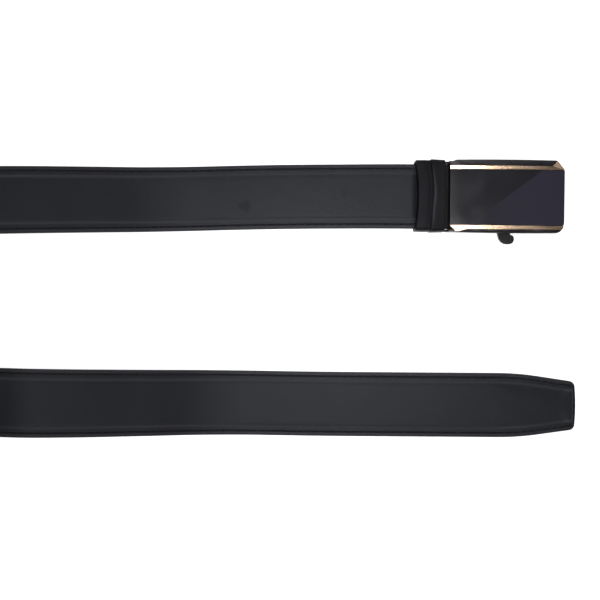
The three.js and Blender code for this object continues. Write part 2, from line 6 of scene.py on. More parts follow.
import bmesh
import bpy
from bpy.props import FloatProperty, FloatVectorProperty, IntProperty, PointerProperty
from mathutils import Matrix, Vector


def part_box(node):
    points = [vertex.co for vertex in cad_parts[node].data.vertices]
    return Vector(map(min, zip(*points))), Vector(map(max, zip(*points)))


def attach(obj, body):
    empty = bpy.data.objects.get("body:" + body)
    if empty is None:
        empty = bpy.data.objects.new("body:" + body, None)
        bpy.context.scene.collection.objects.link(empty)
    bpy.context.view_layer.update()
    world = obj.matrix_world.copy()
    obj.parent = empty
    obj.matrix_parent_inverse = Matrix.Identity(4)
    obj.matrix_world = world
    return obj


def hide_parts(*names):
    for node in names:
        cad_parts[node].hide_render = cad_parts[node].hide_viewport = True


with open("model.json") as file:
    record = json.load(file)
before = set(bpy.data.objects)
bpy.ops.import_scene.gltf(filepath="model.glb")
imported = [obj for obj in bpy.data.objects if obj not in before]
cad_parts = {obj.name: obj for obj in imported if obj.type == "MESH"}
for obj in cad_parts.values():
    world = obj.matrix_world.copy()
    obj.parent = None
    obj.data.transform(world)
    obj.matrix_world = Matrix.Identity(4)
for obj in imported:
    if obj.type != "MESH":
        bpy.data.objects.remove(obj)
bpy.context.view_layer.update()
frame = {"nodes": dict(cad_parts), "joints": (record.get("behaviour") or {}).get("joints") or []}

bl_info = {
    "name": "Belt with Automatic Buckle",
    "version": (1, 0, 0),
    "blender": (4, 5, 0),
    "location": "View3D > Sidebar > Belt",
    "description": "Makes a faux leather belt, its stitches, loop and buckle around a packed model",
    "category": "Object",
}

MM = 0.001


# Sizes and colours


def size(name, description, millimetres):
    return FloatProperty(
        name=name, description=description, default=millimetres * MM, min=0.0, precision=5, unit="LENGTH"
    )


def ratio(name, description, default, **limits):
    return FloatProperty(name=name, description=description, default=default, **limits)


def colour(name, description, rgb):
    return FloatVectorProperty(
        name=name, description=description, default=rgb, size=3, min=0.0, max=1.0, subtype="COLOR"
    )


class BeltStrap(bpy.types.PropertyGroup):
    length: size("Length", "From the tip to the cut end in the clamp", 1137)
    overhang: size("Overhang", "How much longer the tip's leg is than the buckle's", 74)
    width: size("Width", "Width of the strap", 35)
    border: size("Border", "Thickness along the edge", 2.6)
    padding: size("Padding", "Height of the raised panel above the border", 0.7)
    crown: size("Crown", "How much the panel swells in its middle", 0.1)
    edge_round: size("Edge round", "Radius of the strap's long edges", 0.5)
    groove_inset: size("Groove inset", "Stitch groove from the strap's edge", 2.4)
    groove_width: size("Groove width", "Width of the stitch groove", 1.1)
    groove_depth: size("Groove depth", "Depth of the stitch groove", 0.4)
    shoulder_start: size("Shoulder start", "Where the panel starts to rise, from the edge", 4.4)
    shoulder_end: size("Shoulder end", "Where the panel is full height, from the edge", 6.8)
    pressed: size("Pressed", "Thickness of the end in the clamp", 2.3)
    pressed_length: size("Pressed length", "Length of the end in the clamp", 14.8)
    pressed_ramp: size("Pressed ramp", "Length over which the strap thins to it", 2.6)


class BeltTip(bpy.types.PropertyGroup):
    length: size("Taper", "Length of the tapered tip", 42)
    knee: ratio("Knee", "Share of the taper over which its edge bends inwards", 0.52, min=0.01, max=1.0)
    end_width: size("End width", "Width at the very end", 26)
    corner: size("Corner", "Radius of the end's corners", 2.7)
    bow: size("Bow", "How far the end bows out in its middle", 0.5)
    panel_corner: size("Panel corner", "Radius of the raised panel's corners", 9)
    groove_pull: ratio("Groove pull", "How much closer the groove runs to the tip's end", 2.4, min=1.0)
    panel_pull: ratio("Panel pull", "How much closer the panel's shoulder runs to the tip's end", 3.1, min=1.0)
    fade: ratio("Fade", "Share of groove and shoulder that the taper loses", 0.85, min=0.0, max=1.0)


class BeltStitches(bpy.types.PropertyGroup):
    pitch: size("Pitch", "From stitch to stitch", 4.2)
    length: size("Length", "Length of a stitch", 3.3)
    thread: size("Thread", "Width of the thread", 0.5)
    seed: IntProperty(name="Seed", description="Seed of the small unevenness", default=7, min=0)


class BeltLoop(bpy.types.PropertyGroup):
    length: size("Length", "Along the strap", 15.8)
    wall: size("Wall", "Thickness of the loop's leather", 1.3)
    side_room: size("Side room", "Beside the strap", 0.4)
    tip_gap: size("Tip gap", "Height left for the tip over the clamp", 4.4)
    corner: size("Corner", "Radius of the loop's inner corners", 1.3)
    ridge: size("Ridge", "Height of the step over the clamp's edge", 0.5)
    ridge_at: size("Ridge at", "The step from the loop's left edge", 8.1)
    waist: size("Waist", "How far the left edge bows in on top", 1.5)
    stand_off: size("Stand-off", "From the strap's cut end", 0.7)
    edge_round: size("Edge round", "Radius of the loop's edges", 0.45)


class BeltBuckle(bpy.types.PropertyGroup):
    start: size("Start", "The plate's left end from the strap's cut end", 2)
    length: size("Length", "Length of the plate", 61.4)
    half_rim: size("Half rim", "Half the rim's width", 19.9)
    face_half: size("Half face", "Half the glossy face's width", 14.9)
    face_offset: size("Face offset", "How far the face's middle lies below the rim's", 0.8)
    deck: size("Deck", "Height of the roof that carries face and trims", 10.3)
    crown: size("Crown", "Rise of the plate's middle over its ends", 0.6)
    rim_top: size("Rim top", "Height of the rim", 11)
    face_top: size("Face top", "Height of the face", 11.7)
    trim_width: size("Trim width", "Width of a gold bevel", 2.1)
    facet_low: size("Facet low", "Height of the corner facets' outer corner", 10.9)
    end_bevel: size("End bevel", "Length of the face's bevel at its right end", 1.6)
    end_drop: size("End drop", "Fall of that bevel", 0.4)
    crease_slope: ratio("Crease slope", "Rise of the diagonal crease over its run", 0.747, min=0.1)
    crease_tilt: ratio("Crease tilt", "Fall of the face away from the crease", 0.012, min=0.0)
    clearance: size("Clearance", "Between two neighbouring pieces", 0.3)
    edge: size("Edge", "Width of the small bevels on metal edges", 0.16)


class BeltColours(bpy.types.PropertyGroup):
    leather: colour("Leather", "Outer face of the strap", (0.0195, 0.02, 0.0238))
    # The pale leather also paints the highlight along the panel's shoulders, at the tip's end and along the outline
    leather_pale: colour("Pale leather", "Its paler clouds and highlighted edges", (0.062, 0.063, 0.073))
    edge_paint: colour("Edge paint", "Painted long edges", (0.006, 0.006, 0.007))
    lining: colour("Lining", "Back of the strap", (0.03, 0.028, 0.028))
    loop: colour("Loop", "Leather of the keeper loop", (0.0035, 0.003, 0.0052))
    # The pale loop leather paints the highlight on the step's crest and the light on the raised right band
    loop_pale: colour("Pale loop", "Its stretched crest and right band", (0.07, 0.07, 0.08))
    # The clamp's own black, darkened further as painted shade for the gap between loop and buckle
    shaded_jaws: colour("Jaws", "Shade_darkened clamp between loop and buckle", (0.004, 0.004, 0.0045))
    thread: colour("Thread", "Stitches", (0.006, 0.006, 0.007))
    black_metal: colour("Black metal", "Rim and walls", (0.022, 0.02, 0.024))
    lever: colour("Lever", "Release lever", (0.0045, 0.0045, 0.0065))
    face: colour("Face", "Upper left plane of the glossy face", (0.0285, 0.0272, 0.0335))
    face_blue: colour("Blue face", "Lower right plane of the glossy face", (0.05, 0.046, 0.07))
    gold: colour("Rose gold", "Bevels beside the face", (0.93, 0.66, 0.46))
    steel: colour("Steel", "Pins", (0.07, 0.07, 0.075))
    track: colour("Track", "Moulded strip on the tip's back", (0.012, 0.012, 0.013))
    floor: colour("Floor", "Ground that the belt lies on", (0.8, 0.8, 0.8))


GROUPS = {
    "belt_strap": BeltStrap,
    "belt_tip": BeltTip,
    "belt_stitches": BeltStitches,
    "belt_loop": BeltLoop,
    "belt_buckle": BeltBuckle,
    "belt_colours": BeltColours,
}


# The strap's way in space, as the part's source lays it

BEND = {"half_length": 81.5 * MM, "sharpness": 1.5, "spread": math.radians(2.1), "from": 360 * MM, "to": 500 * MM}
BUCKLE_LEG = {
    "side": 1,
    "crest": 29 * MM,
    "flat_from": 405 * MM,
    "turn": math.radians(-0.6),
    "turn_from": 470 * MM,
    "turn_to": 500 * MM,
}
TIP_LEG = {
    "side": -1,
    "crest": 37 * MM,
    "flat_from": 438 * MM,
    "turn": math.radians(0.4),
    "turn_from": 360 * MM,
    "turn_to": 500 * MM,
}
SEAT = {"height": 2.7 * MM, "ramp": 60 * MM, "level": 2 * MM}
WALK_STEP = 2 * MM
HINGE_X = 2.9 * MM  # from the strap's cut end

# Along a leg: share of the way, roll as a share of a right angle, lift as a share of the leg's crest
ATTITUDE = [
    {"along": 0.0, "roll": 1.0, "lift": 0.0},
    {"along": 0.2, "roll": 1.0, "lift": 0.0},
    {"along": 0.3, "roll": 0.93, "lift": 0.05},
    {"along": 0.4, "roll": 0.72, "lift": 0.25},
    {"along": 0.5, "roll": 0.4, "lift": 0.6},
    {"along": 0.6, "roll": 0.12, "lift": 0.9},
    {"along": 0.69, "roll": 0.0, "lift": 1.0},
    {"along": 0.76, "roll": 0.0, "lift": 0.82},
    {"along": 0.84, "roll": 0.0, "lift": 0.48},
    {"along": 0.92, "roll": 0.0, "lift": 0.14},
    {"along": 1.0, "roll": 0.0, "lift": 0.0},
]

# Moulded strip on the tip's back: 31 teeth, in a channel with room beside it and with nearly upright walls
TRACK = {"start": 46 * MM, "length": 31 * 6.35 * MM, "width": 10 * MM}
CHANNEL = {"room": 0.3 * MM, "depth": 1.7 * MM, "wall": 0.01 * MM}
CHANNEL |= {"from": TRACK["start"] - CHANNEL["room"], "to": TRACK["start"] + TRACK["length"] + CHANNEL["room"]}


def smooth(low, high, value):
    t = min(max((value - low) / (high - low), 0.0), 1.0)
    return t * t * (3 - 2 * t)


def attitude_at(column, share):
    """One column of the table at a share of the way, on a curve that stays level at level rows"""
    if share >= 1:
        return ATTITUDE[-1][column]
    ahead = max(1, next(i for i, row in enumerate(ATTITUDE) if row["along"] > share))

    def slope(i):
        if i in (0, len(ATTITUDE) - 1):
            return 0.0
        before, here, after = ATTITUDE[i - 1 : i + 2]
        if (here[column] - before[column]) * (after[column] - here[column]) <= 0:
            return 0.0
        return (after[column] - before[column]) / (after["along"] - before["along"])

    low, high = ATTITUDE[ahead - 1 : ahead + 1]
    span = high["along"] - low["along"]
    t = (share - low["along"]) / span
    early = (1 - t) ** 2
    return (
        low[column] * (1 + 2 * t) * early
        + high[column] * t * t * (3 - 2 * t)
        + slope(ahead - 1) * span * t * early
        - slope(ahead) * span * t * t * (1 - t)
    )


class Route:
    """Where the strap runs: the two legs from the top of the bend, and the strap's own axes along them"""

    def __init__(self, strap):
        self.strap = strap
        buckle_length = (strap.length - strap.overhang) / 2
        self.tip_length = buckle_length + strap.overhang
        self.rise_from = buckle_length - SEAT["ramp"]
        self.rise_to = buckle_length - strap.pressed_length - SEAT["level"]
        self.walks = {1: self.walk(BUCKLE_LEG, buckle_length), -1: self.walk(TIP_LEG, self.tip_length)}
        self.shift = Vector((0, 0, 0))
        end = self.at(strap.length)
        self.ahead = Vector((end["along"].x, end["along"].y, 0)).normalized()
        hinge = next(j for j in frame["joints"] if j["name"] == "buckle_hinge")
        cut_end = Vector(hinge["pos_m"]) - self.ahead * HINGE_X
        self.shift = Vector((cut_end.x - end["centre"].x, cut_end.y - end["centre"].y, 0))
        self.cut_end = Vector((cut_end.x, cut_end.y, 0))

    def heading(self, leg, u):
        if u < BEND["half_length"]:
            rest = (1 - u / BEND["half_length"]) ** BEND["sharpness"]
            return math.pi / 2 * rest + BEND["spread"] * (1 - rest)
        turn = leg["turn"] * smooth(leg["turn_from"], leg["turn_to"], u)
        return BEND["spread"] * (1 - smooth(BEND["from"], BEND["to"], u)) + turn

    def height(self, leg, u):
        share = u / leg["flat_from"]
        roll = attitude_at("roll", share) * math.pi / 2
        rise = SEAT["height"] * smooth(self.rise_from, self.rise_to, u) if leg is BUCKLE_LEG else 0.0
        return attitude_at("lift", share) * leg["crest"] + self.strap.width / 2 * math.sin(roll) + rise

    def walk(self, leg, length):
        points = [Vector((0, 0, self.height(leg, 0)))]
        for i in range(1, int(length / WALK_STEP + 1e-6) + 3):
            u = i * WALK_STEP
            rise = self.height(leg, u) - self.height(leg, u - WALK_STEP)
            run = math.sqrt(WALK_STEP**2 - rise**2)
            heading = self.heading(leg, u - WALK_STEP / 2)
            points.append(
                points[-1] + Vector((run * math.cos(heading), leg["side"] * run * math.sin(heading), rise))
            )
        return points

    def at(self, s):
        """The strap's axes at a distance from the tip: centre of its back, across, out of the face, along"""
        leg = TIP_LEG if s < self.tip_length else BUCKLE_LEG
        side = leg["side"]
        points = self.walks[side]
        u = abs(s - self.tip_length)
        index = min(int(u / WALK_STEP), len(points) - 2)
        centre = points[index].lerp(points[index + 1], u / WALK_STEP - index)
        tangent = points[min(index + 2, len(points) - 1)] - points[max(index - 1, 0)]
        if index == 0:
            tangent = Vector((0, side, 0))
        tangent.normalize()
        outward = Vector((-side * tangent.y, side * tangent.x, 0)).normalized()
        up = (tangent.cross(outward) * side).normalized()
        roll = attitude_at("roll", u / leg["flat_from"]) * math.pi / 2
        return {
            "centre": centre + self.shift,
            "across": outward * math.cos(roll) - up * math.sin(roll),
            "out": up * math.cos(roll) + outward * math.sin(roll),
            "along": tangent * side,
        }

    def on_strap(self, a, s, n, ahead=0.0):
        """A point across the strap, at a distance from the tip and above the back"""
        axes = self.at(s)
        return axes["centre"] + axes["across"] * a + axes["out"] * n + axes["along"] * ahead

    def at_buckle(self, x, y, z):
        """A point in the buckle's own frame: x from the strap's cut end, y from its middle, z from the table"""
        left = Vector((-self.ahead.y, self.ahead.x, 0))
        return self.cut_end + self.ahead * x + left * y + Vector((0, 0, z))


# Meshes


def finish_object(name, mesh, materials, sharp=35):
    for material in materials:
        mesh.materials.append(material)
    mesh.shade_smooth()
    mesh.set_sharp_from_angle(angle=math.radians(sharp))
    piece = bpy.data.objects.new(name, mesh)
    bpy.context.scene.collection.objects.link(piece)
    return piece


def loft(name, rings, closed_rings=False, uv=None, slot_of=None):
    """A mesh through rings of as many points each. uv gives the map's place of ring i and point j."""
    count, rows = len(rings[0]), len(rings)
    faces = []
    for i in range(rows if closed_rings else rows - 1):
        for j in range(count):
            faces.append([(i, j), (i, j + 1), (i + 1, j + 1), (i + 1, j)])
    if not closed_rings:
        faces.append([(0, j) for j in reversed(range(count))])
        faces.append([(rows - 1, j) for j in range(count)])
    mesh = bpy.data.meshes.new(name)
    index = lambda i, j: (i % rows) * count + j % count
    mesh.from_pydata([p for ring in rings for p in ring], [], [[index(*c) for c in face] for face in faces])
    if uv:
        layer = mesh.uv_layers.new(name="Surface")
        corners = [uv(i, j) for face in faces for i, j in face]
        layer.data.foreach_set("uv", [value for corner in corners for value in corner])
    if slot_of:
        mesh.polygons.foreach_set("material_index", [slot_of(face[0][1]) for face in faces])
    face_outwards(mesh)
    return mesh


def face_outwards(mesh):
    bm = bmesh.new()
    bm.from_mesh(mesh)
    if bm.calc_volume(signed=True) < 0:
        bmesh.ops.reverse_faces(bm, faces=bm.faces)
    bm.to_mesh(mesh)
    bm.free()


def bevelled(piece, width, segments=2, limit=30):
    """Applies a small bevel with clean shading to every edge over the limit"""
    bevel = piece.modifiers.new("Edges", "BEVEL")
    bevel.width = width
    bevel.segments = segments
    bevel.limit_method = "ANGLE"
    bevel.angle_limit = math.radians(limit)
    bevel.harden_normals = True
    return applied(piece)


def applied(piece):
    """Turns the evaluated piece into a plain mesh and removes its modifiers"""
    depsgraph = bpy.context.evaluated_depsgraph_get()
    mesh = bpy.data.meshes.new_from_object(piece.evaluated_get(depsgraph), depsgraph=depsgraph)
    piece.modifiers.clear()
    piece.data = mesh
    return piece


def merged_copy(node):
    """A copy of a CAD node's mesh with its doubles merged and its flat faces whole"""
    mesh = frame["nodes"][node].data.copy()
    mesh.materials.clear()
    bm = bmesh.new()
    bm.from_mesh(mesh)
    bmesh.ops.remove_doubles(bm, verts=bm.verts, dist=2e-6)
    bmesh.ops.dissolve_limit(bm, angle_limit=math.radians(0.2), verts=bm.verts, edges=bm.edges)
    bm.to_mesh(mesh)
    bm.free()
    return mesh


def cut_corners(mesh, route, sizes):
    """Cuts the plate's corners off a closed mesh and closes it again"""
    half = sizes.length / 2
    middle = sizes.start + half
    bm = bmesh.new()
    bm.from_mesh(mesh)
    for x1, y1, x2, y2 in CORNER_CUTS:
        low = route.at_buckle(middle + x1 * half, y1 * sizes.half_rim, 0)
        high = route.at_buckle(middle + x2 * half, y2 * sizes.half_rim, 0)
        away = (high - low).cross(Vector((0, 0, 1))).normalized()
        if away.dot(low - route.at_buckle(middle, 0, 0)) < 0:
            away.negate()
        geometry = bm.verts[:] + bm.edges[:] + bm.faces[:]
        cut = bmesh.ops.bisect_plane(bm, geom=geometry, plane_co=low, plane_no=away, clear_outer=True)
        rim = [e for e in cut["geom_cut"] if isinstance(e, bmesh.types.BMEdge)]
        if rim:
            bmesh.ops.contextual_create(bm, geom=rim)
    bm.to_mesh(mesh)
    bm.free()


# Ends of each corner cut as shares of the half length and of the rim's half width: x1, y1, x2, y2
CORNER_CUTS = [
    (0.86, 1.0, 1.0, 0.71),
    (1.0, -0.7, 0.975, -0.86),
    (0.975, -0.86, 0.93, -0.95),
    (0.93, -0.95, 0.85, -1.0),
    (-0.86, -1.0, -1.0, -0.79),
    (-1.0, 0.9, -0.86, 1.0),
]

# The gold bevels, each drawn above the face and the lower one turned half round, and where each widens into its
# corner facet, as shares of the half length and of the rim's half width
BEVELS = {
    "upper_gold": {"node": "trim_upper", "way": 1, "from": 0.8, "outer_x": 0.87, "outer_y": 0.95},
    "lower_gold": {"node": "trim_lower", "way": -1, "from": 0.71, "outer_x": 0.82, "outer_y": 0.95},
}


# Materials


def is_source(value):
    """Whether a value is a node's output, given as (node, output)"""
    return isinstance(value, tuple) and isinstance(value[0], bpy.types.Node)


def add(tree, kind, links=None, **values):
    """A node with its own values set, and with its inputs set or linked to a source"""
    node = tree.nodes.new(kind)
    for key, value in values.items():
        setattr(node, key, value)
    for key, value in (links or {}).items():
        if is_source(value):
            tree.links.new(value[0].outputs[value[1]], node.inputs[key])
        else:
            node.inputs[key].default_value = value
    return node


class Finish:
    """A new material and its main shader. Every method but feed gives a source."""

    def __init__(self, name, base, roughness, metallic=0.0, **sockets):
        self.material = bpy.data.materials.new(name)
        self.material.use_nodes = True
        self.tree = self.material.node_tree
        self.main = self.tree.nodes["Principled BSDF"]
        sockets = {"Base_Color": (*base, 1), "Roughness": roughness, "Metallic": metallic, **sockets}
        for key, value in sockets.items():
            self.main.inputs[key.replace("_", " ")].default_value = value

    def feed(self, **sources):
        """Links the main shader's sockets to their sources"""
        for key, (node, output) in sources.items():
            self.tree.links.new(node.outputs[output], self.main.inputs[key.replace("_", " ")])

    def place(self, output):
        """Object coordinates (Object), or the surface's own map in metres (UV)"""
        return add(self.tree, "ShaderNodeTexCoord"), output

    def scaled(self, place, scale):
        return add(self.tree, "ShaderNodeMapping", {"Vector": place, "Scale": scale}), "Vector"

    def noise(self, place, scale, detail):
        return add(self.tree, "ShaderNodeTexNoise", {"Vector": place, "Scale": scale, "Detail": detail}), "Fac"

    def attribute(self, name):
        return add(self.tree, "ShaderNodeAttribute", attribute_name=name), "Fac"

    def total(self, first, second, **values):
        return add(self.tree, "ShaderNodeMath", {0: first, 1: second}, operation="ADD", **values), "Value"

    def ranged(self, source, low, high, to_low, to_high):
        """Maps a value from one range to another, within its ends"""
        ends = {"From Min": low, "From Max": high, "To Min": to_low, "To Max": to_high}
        return add(self.tree, "ShaderNodeMapRange", {"Value": source, **ends}), "Result"

    def mixed(self, factor, *colours):
        """A mix of two colours or of two sources of colour"""
        low, high = [value if is_source(value) else (*value, 1) for value in colours]
        return add(self.tree, "ShaderNodeMix", {0: factor, 6: low, 7: high}, data_type="RGBA"), 2

    def bump(self, height, strength, depth, **under):
        """A bump, over another one if it is given as Normal"""
        links = {"Height": height, "Strength": strength, "Distance": depth, **under}
        return add(self.tree, "ShaderNodeBump", links), "Normal"


# Darker spots on the strap's outer face, as it lies, and their soft, uneven edge as shares of the radius
DARK_SPOTS = [
    {"x": 109.5 * MM, "y": 50.5 * MM, "radius": 3.3 * MM, "depth": 0.7},
    {"x": 163.2 * MM, "y": 57.7 * MM, "radius": 2.6 * MM, "depth": 0.3},
]
DARK_SPOT_EDGE = {"from": 0.45, "to": 1.3, "uneven": 0.25}
DARK_SPOT_TONE = 0.2  # of the leather's own

# Leather grain: pebbles with creases between them and fine wrinkles on them, over a slow swell
GRAIN = {"pebble": 0.55 * MM, "fine": 0.6, "strength": 0.7, "depth": 0.06 * MM}
SWELL = {"scale": 55.0, "strength": 0.35, "depth": 0.6 * MM}


def dark_spot_mask(finish, dark_spot):
    """How dark a spot is inside it, on the strap as it lies, 0 outside"""
    place, radius = finish.place("Object"), dark_spot["radius"]
    ends = {0: finish.scaled(place, (1.0, 1.0, 0.0)), 1: (dark_spot["x"], dark_spot["y"], 0.0)}
    away = add(finish.tree, "ShaderNodeVectorMath", ends, operation="DISTANCE"), "Value"
    uneven = DARK_SPOT_EDGE["uneven"] * radius
    edge = finish.total(away, finish.ranged(finish.noise(place, 420.0, 2.0), 0.3, 0.7, -uneven, uneven))
    return finish.ranged(edge, DARK_SPOT_EDGE["from"] * radius, DARK_SPOT_EDGE["to"] * radius, dark_spot["depth"], 0.0)


def grain(finish, place):
    cells = {"Vector": place, "Scale": 1 / GRAIN["pebble"], "Randomness": 0.9}
    creases = finish.ranged((add(finish.tree, "ShaderNodeTexVoronoi", cells), "Distance"), 0.1, 0.75, 1.0, 0.0)
    both = finish.total(creases, finish.noise(place, GRAIN["fine"] / GRAIN["pebble"], 4.0))
    swell = finish.bump(finish.noise(place, SWELL["scale"], 2.0), SWELL["strength"], SWELL["depth"])
    return finish.bump(both, GRAIN["strength"], GRAIN["depth"], Normal=swell)


def leather(name, low, high, gloss, dark_spots=()):
    """Grained faux leather, in two tones that follow slow clouds and a painted highlight, with a cool sheen"""
    finish = Finish(name, low, 0.46, Specular_IOR_Level=gloss, Specular_Tint=(0.9, 0.93, 1.0, 1.0))
    place = finish.place("UV")
    cloud = finish.ranged(finish.noise(place, 28.0, 5.0), 0.35, 0.7, 0.0, 0.08)
    # The pale tone follows random clouds and the painted highlight held in the mesh's attribute
    base = finish.mixed(finish.total(cloud, finish.attribute("wear"), use_clamp=True), low, high)
    for dark_spot in dark_spots:
        base = finish.mixed(dark_spot_mask(finish, dark_spot), base, [value * DARK_SPOT_TONE for value in low])
    rough = finish.ranged(finish.noise(place, 900.0, 3.0), 0.3, 0.7, 0.42, 0.52)
    finish.feed(Base_Color=base, Roughness=rough, Normal=grain(finish, place))
    return finish.material


def leather_material(colours):
    return leather("Faux leather", colours.leather, colours.leather_pale, 0.2, DARK_SPOTS)


def loop_material(colours):
    return leather("Loop leather", colours.loop, colours.loop_pale, 0.16)


def lining_material(colours):
    """The back: a napped lining with fine short fibres"""
    finish = Finish("Lining", colours.lining, 0.85)
    place = finish.place("UV")
    nap = finish.ranged(finish.noise(place, 60.0, 4.0), 0.35, 0.7, 0.0, 1.0)
    base = finish.mixed(nap, [value * 0.7 for value in colours.lining], colours.lining)
    finish.feed(Base_Color=base, Normal=finish.bump(finish.noise(place, 2600.0, 4.0), 0.7, 0.08 * MM))
    return finish.material


def thread_material(colours):
    """Twisted thread"""
    finish = Finish("Thread", colours.thread, 0.6, Specular_IOR_Level=0.25)
    wave = {"Vector": finish.place("Object"), "Scale": 700.0, "Distortion": 2.0, "Detail": 2.0}
    twist = add(finish.tree, "ShaderNodeTexWave", wave, bands_direction="DIAGONAL"), "Fac"
    finish.feed(Normal=finish.bump(twist, 0.5, 0.05 * MM))
    return finish.material


def face_material(colours):
    """Deep gloss lacquer whose two planes differ a little in hue"""
    finish = Finish("Gloss lacquer", colours.face, 0.16)
    base = finish.mixed(finish.attribute("plane"), colours.face, colours.face_blue)
    haze = finish.ranged(finish.noise(finish.place("Object"), 90.0, 5.0), 0.35, 0.7, 0.13, 0.2)
    finish.feed(Base_Color=base, Roughness=haze)
    return finish.material


def gold_material(colours):
    """Rose gold plating, drawn along its length"""
    finish = Finish("Rose gold", colours.gold, 0.2, 1.0)
    lines = finish.noise(finish.scaled(finish.place("Object"), (60.0, 2600.0, 2600.0)), 1.0, 3.0)
    rough = finish.ranged(lines, 0.3, 0.7, 0.16, 0.26)
    finish.feed(Roughness=rough, Normal=finish.bump(lines, 0.04, 0.02 * MM))
    return finish.material


# Plain finishes. marks: scale and detail of the noise in the roughness. range: the noise's own range, and the
# roughness that it gives. skin: scale and detail of the noise in the bump, where it isn't the same. bump: strength
# and depth. The plating has a satin gloss and faint handling marks.
PLATING = {
    "shader": {"roughness": 0.34, "metallic": 0.3},
    "marks": (260.0, 6.0),
    "range": (0.35, 0.7, 0.3, 0.42),
    "skin": (1400.0, 2.0),
    "bump": (0.15, 0.03 * MM),
}
PLAIN = {
    # The clamp's finish is darkened as painted shade for the gap between loop and buckle
    "shaded_jaws": {
        "name": "Shade_darkened steel",
        "colour": "shaded_jaws",
        "shader": {"roughness": 0.6, "Specular_IOR_Level": 0.2},
        "marks": (900.0, 4.0),
        "range": (0.3, 0.7, 0.5, 0.7),
    },
    "edge": {
        "name": "Edge paint",
        "colour": "edge_paint",
        "shader": {"roughness": 0.38},
        "marks": (420.0, 3.0),
        "range": (0.3, 0.7, 0.32, 0.46),
        "bump": (0.4, 0.08 * MM),
    },
    "black metal": {"name": "Black plating", "colour": "black_metal", **PLATING},
    "lever": {"name": "Lever plating", "colour": "lever", **PLATING},
    "steel": {
        "name": "Pin steel",
        "colour": "steel",
        "shader": {"roughness": 0.35, "metallic": 1.0},
        "marks": (1800.0, 3.0),
        "range": (0.3, 0.7, 0.28, 0.45),
    },
    "track": {
        "name": "Moulded strip",
        "colour": "track",
        "shader": {"roughness": 0.5},
        "marks": (1500.0, 2.0),
        "range": (0.3, 0.7, 0.44, 0.56),
        "bump": (0.2, 0.05 * MM),
    },
}


def plain_material(colours, row):
    finish = Finish(row["name"], getattr(colours, row["colour"]), **row["shader"])
    place = finish.place("Object")
    marks = finish.noise(place, *row["marks"])
    finish.feed(Roughness=finish.ranged(marks, *row["range"]))
    if "bump" in row:
        skin = finish.noise(place, *row["skin"]) if "skin" in row else marks
        finish.feed(Normal=finish.bump(skin, *row["bump"]))
    return finish.material


MAKERS = {
    "leather": leather_material,
    "loop": loop_material,
    "lining": lining_material,
    "thread": thread_material,
    "face": face_material,
    "gold": gold_material,
}
made_materials = {}


def finish_of(name):
    """The material of that name, made when it is first asked for"""
    if name not in made_materials:
        colours = bpy.context.scene.belt_colours
        made_materials[name] = MAKERS[name](colours) if name in MAKERS else plain_material(colours, PLAIN[name])
    return made_materials[name]


# Strap


# Groove and shoulder fade on the tip between the first two distances from its end, and are back over these shares
# of the taper. A fully faded shoulder is wider by the last size.
FADE = {"from": 3 * MM, "to": 9 * MM, "back_from": 0.6, "back_to": 1.1, "wider": 8 * MM}

# Painted highlight, as paler leather: along the panel's shoulder, more of it at the very end of the tip, and in a
# band along the outline
HIGHLIGHT_BANDS = {"shoulder": 0.5, "outside": 0.4 * MM, "spread": 0.7 * MM, "end": 0.9, "end_from": 3 * MM, "end_to": 7 * MM}
HIGHLIGHT_BANDS |= {"outline": 0.3, "outline_width": 1.6 * MM}


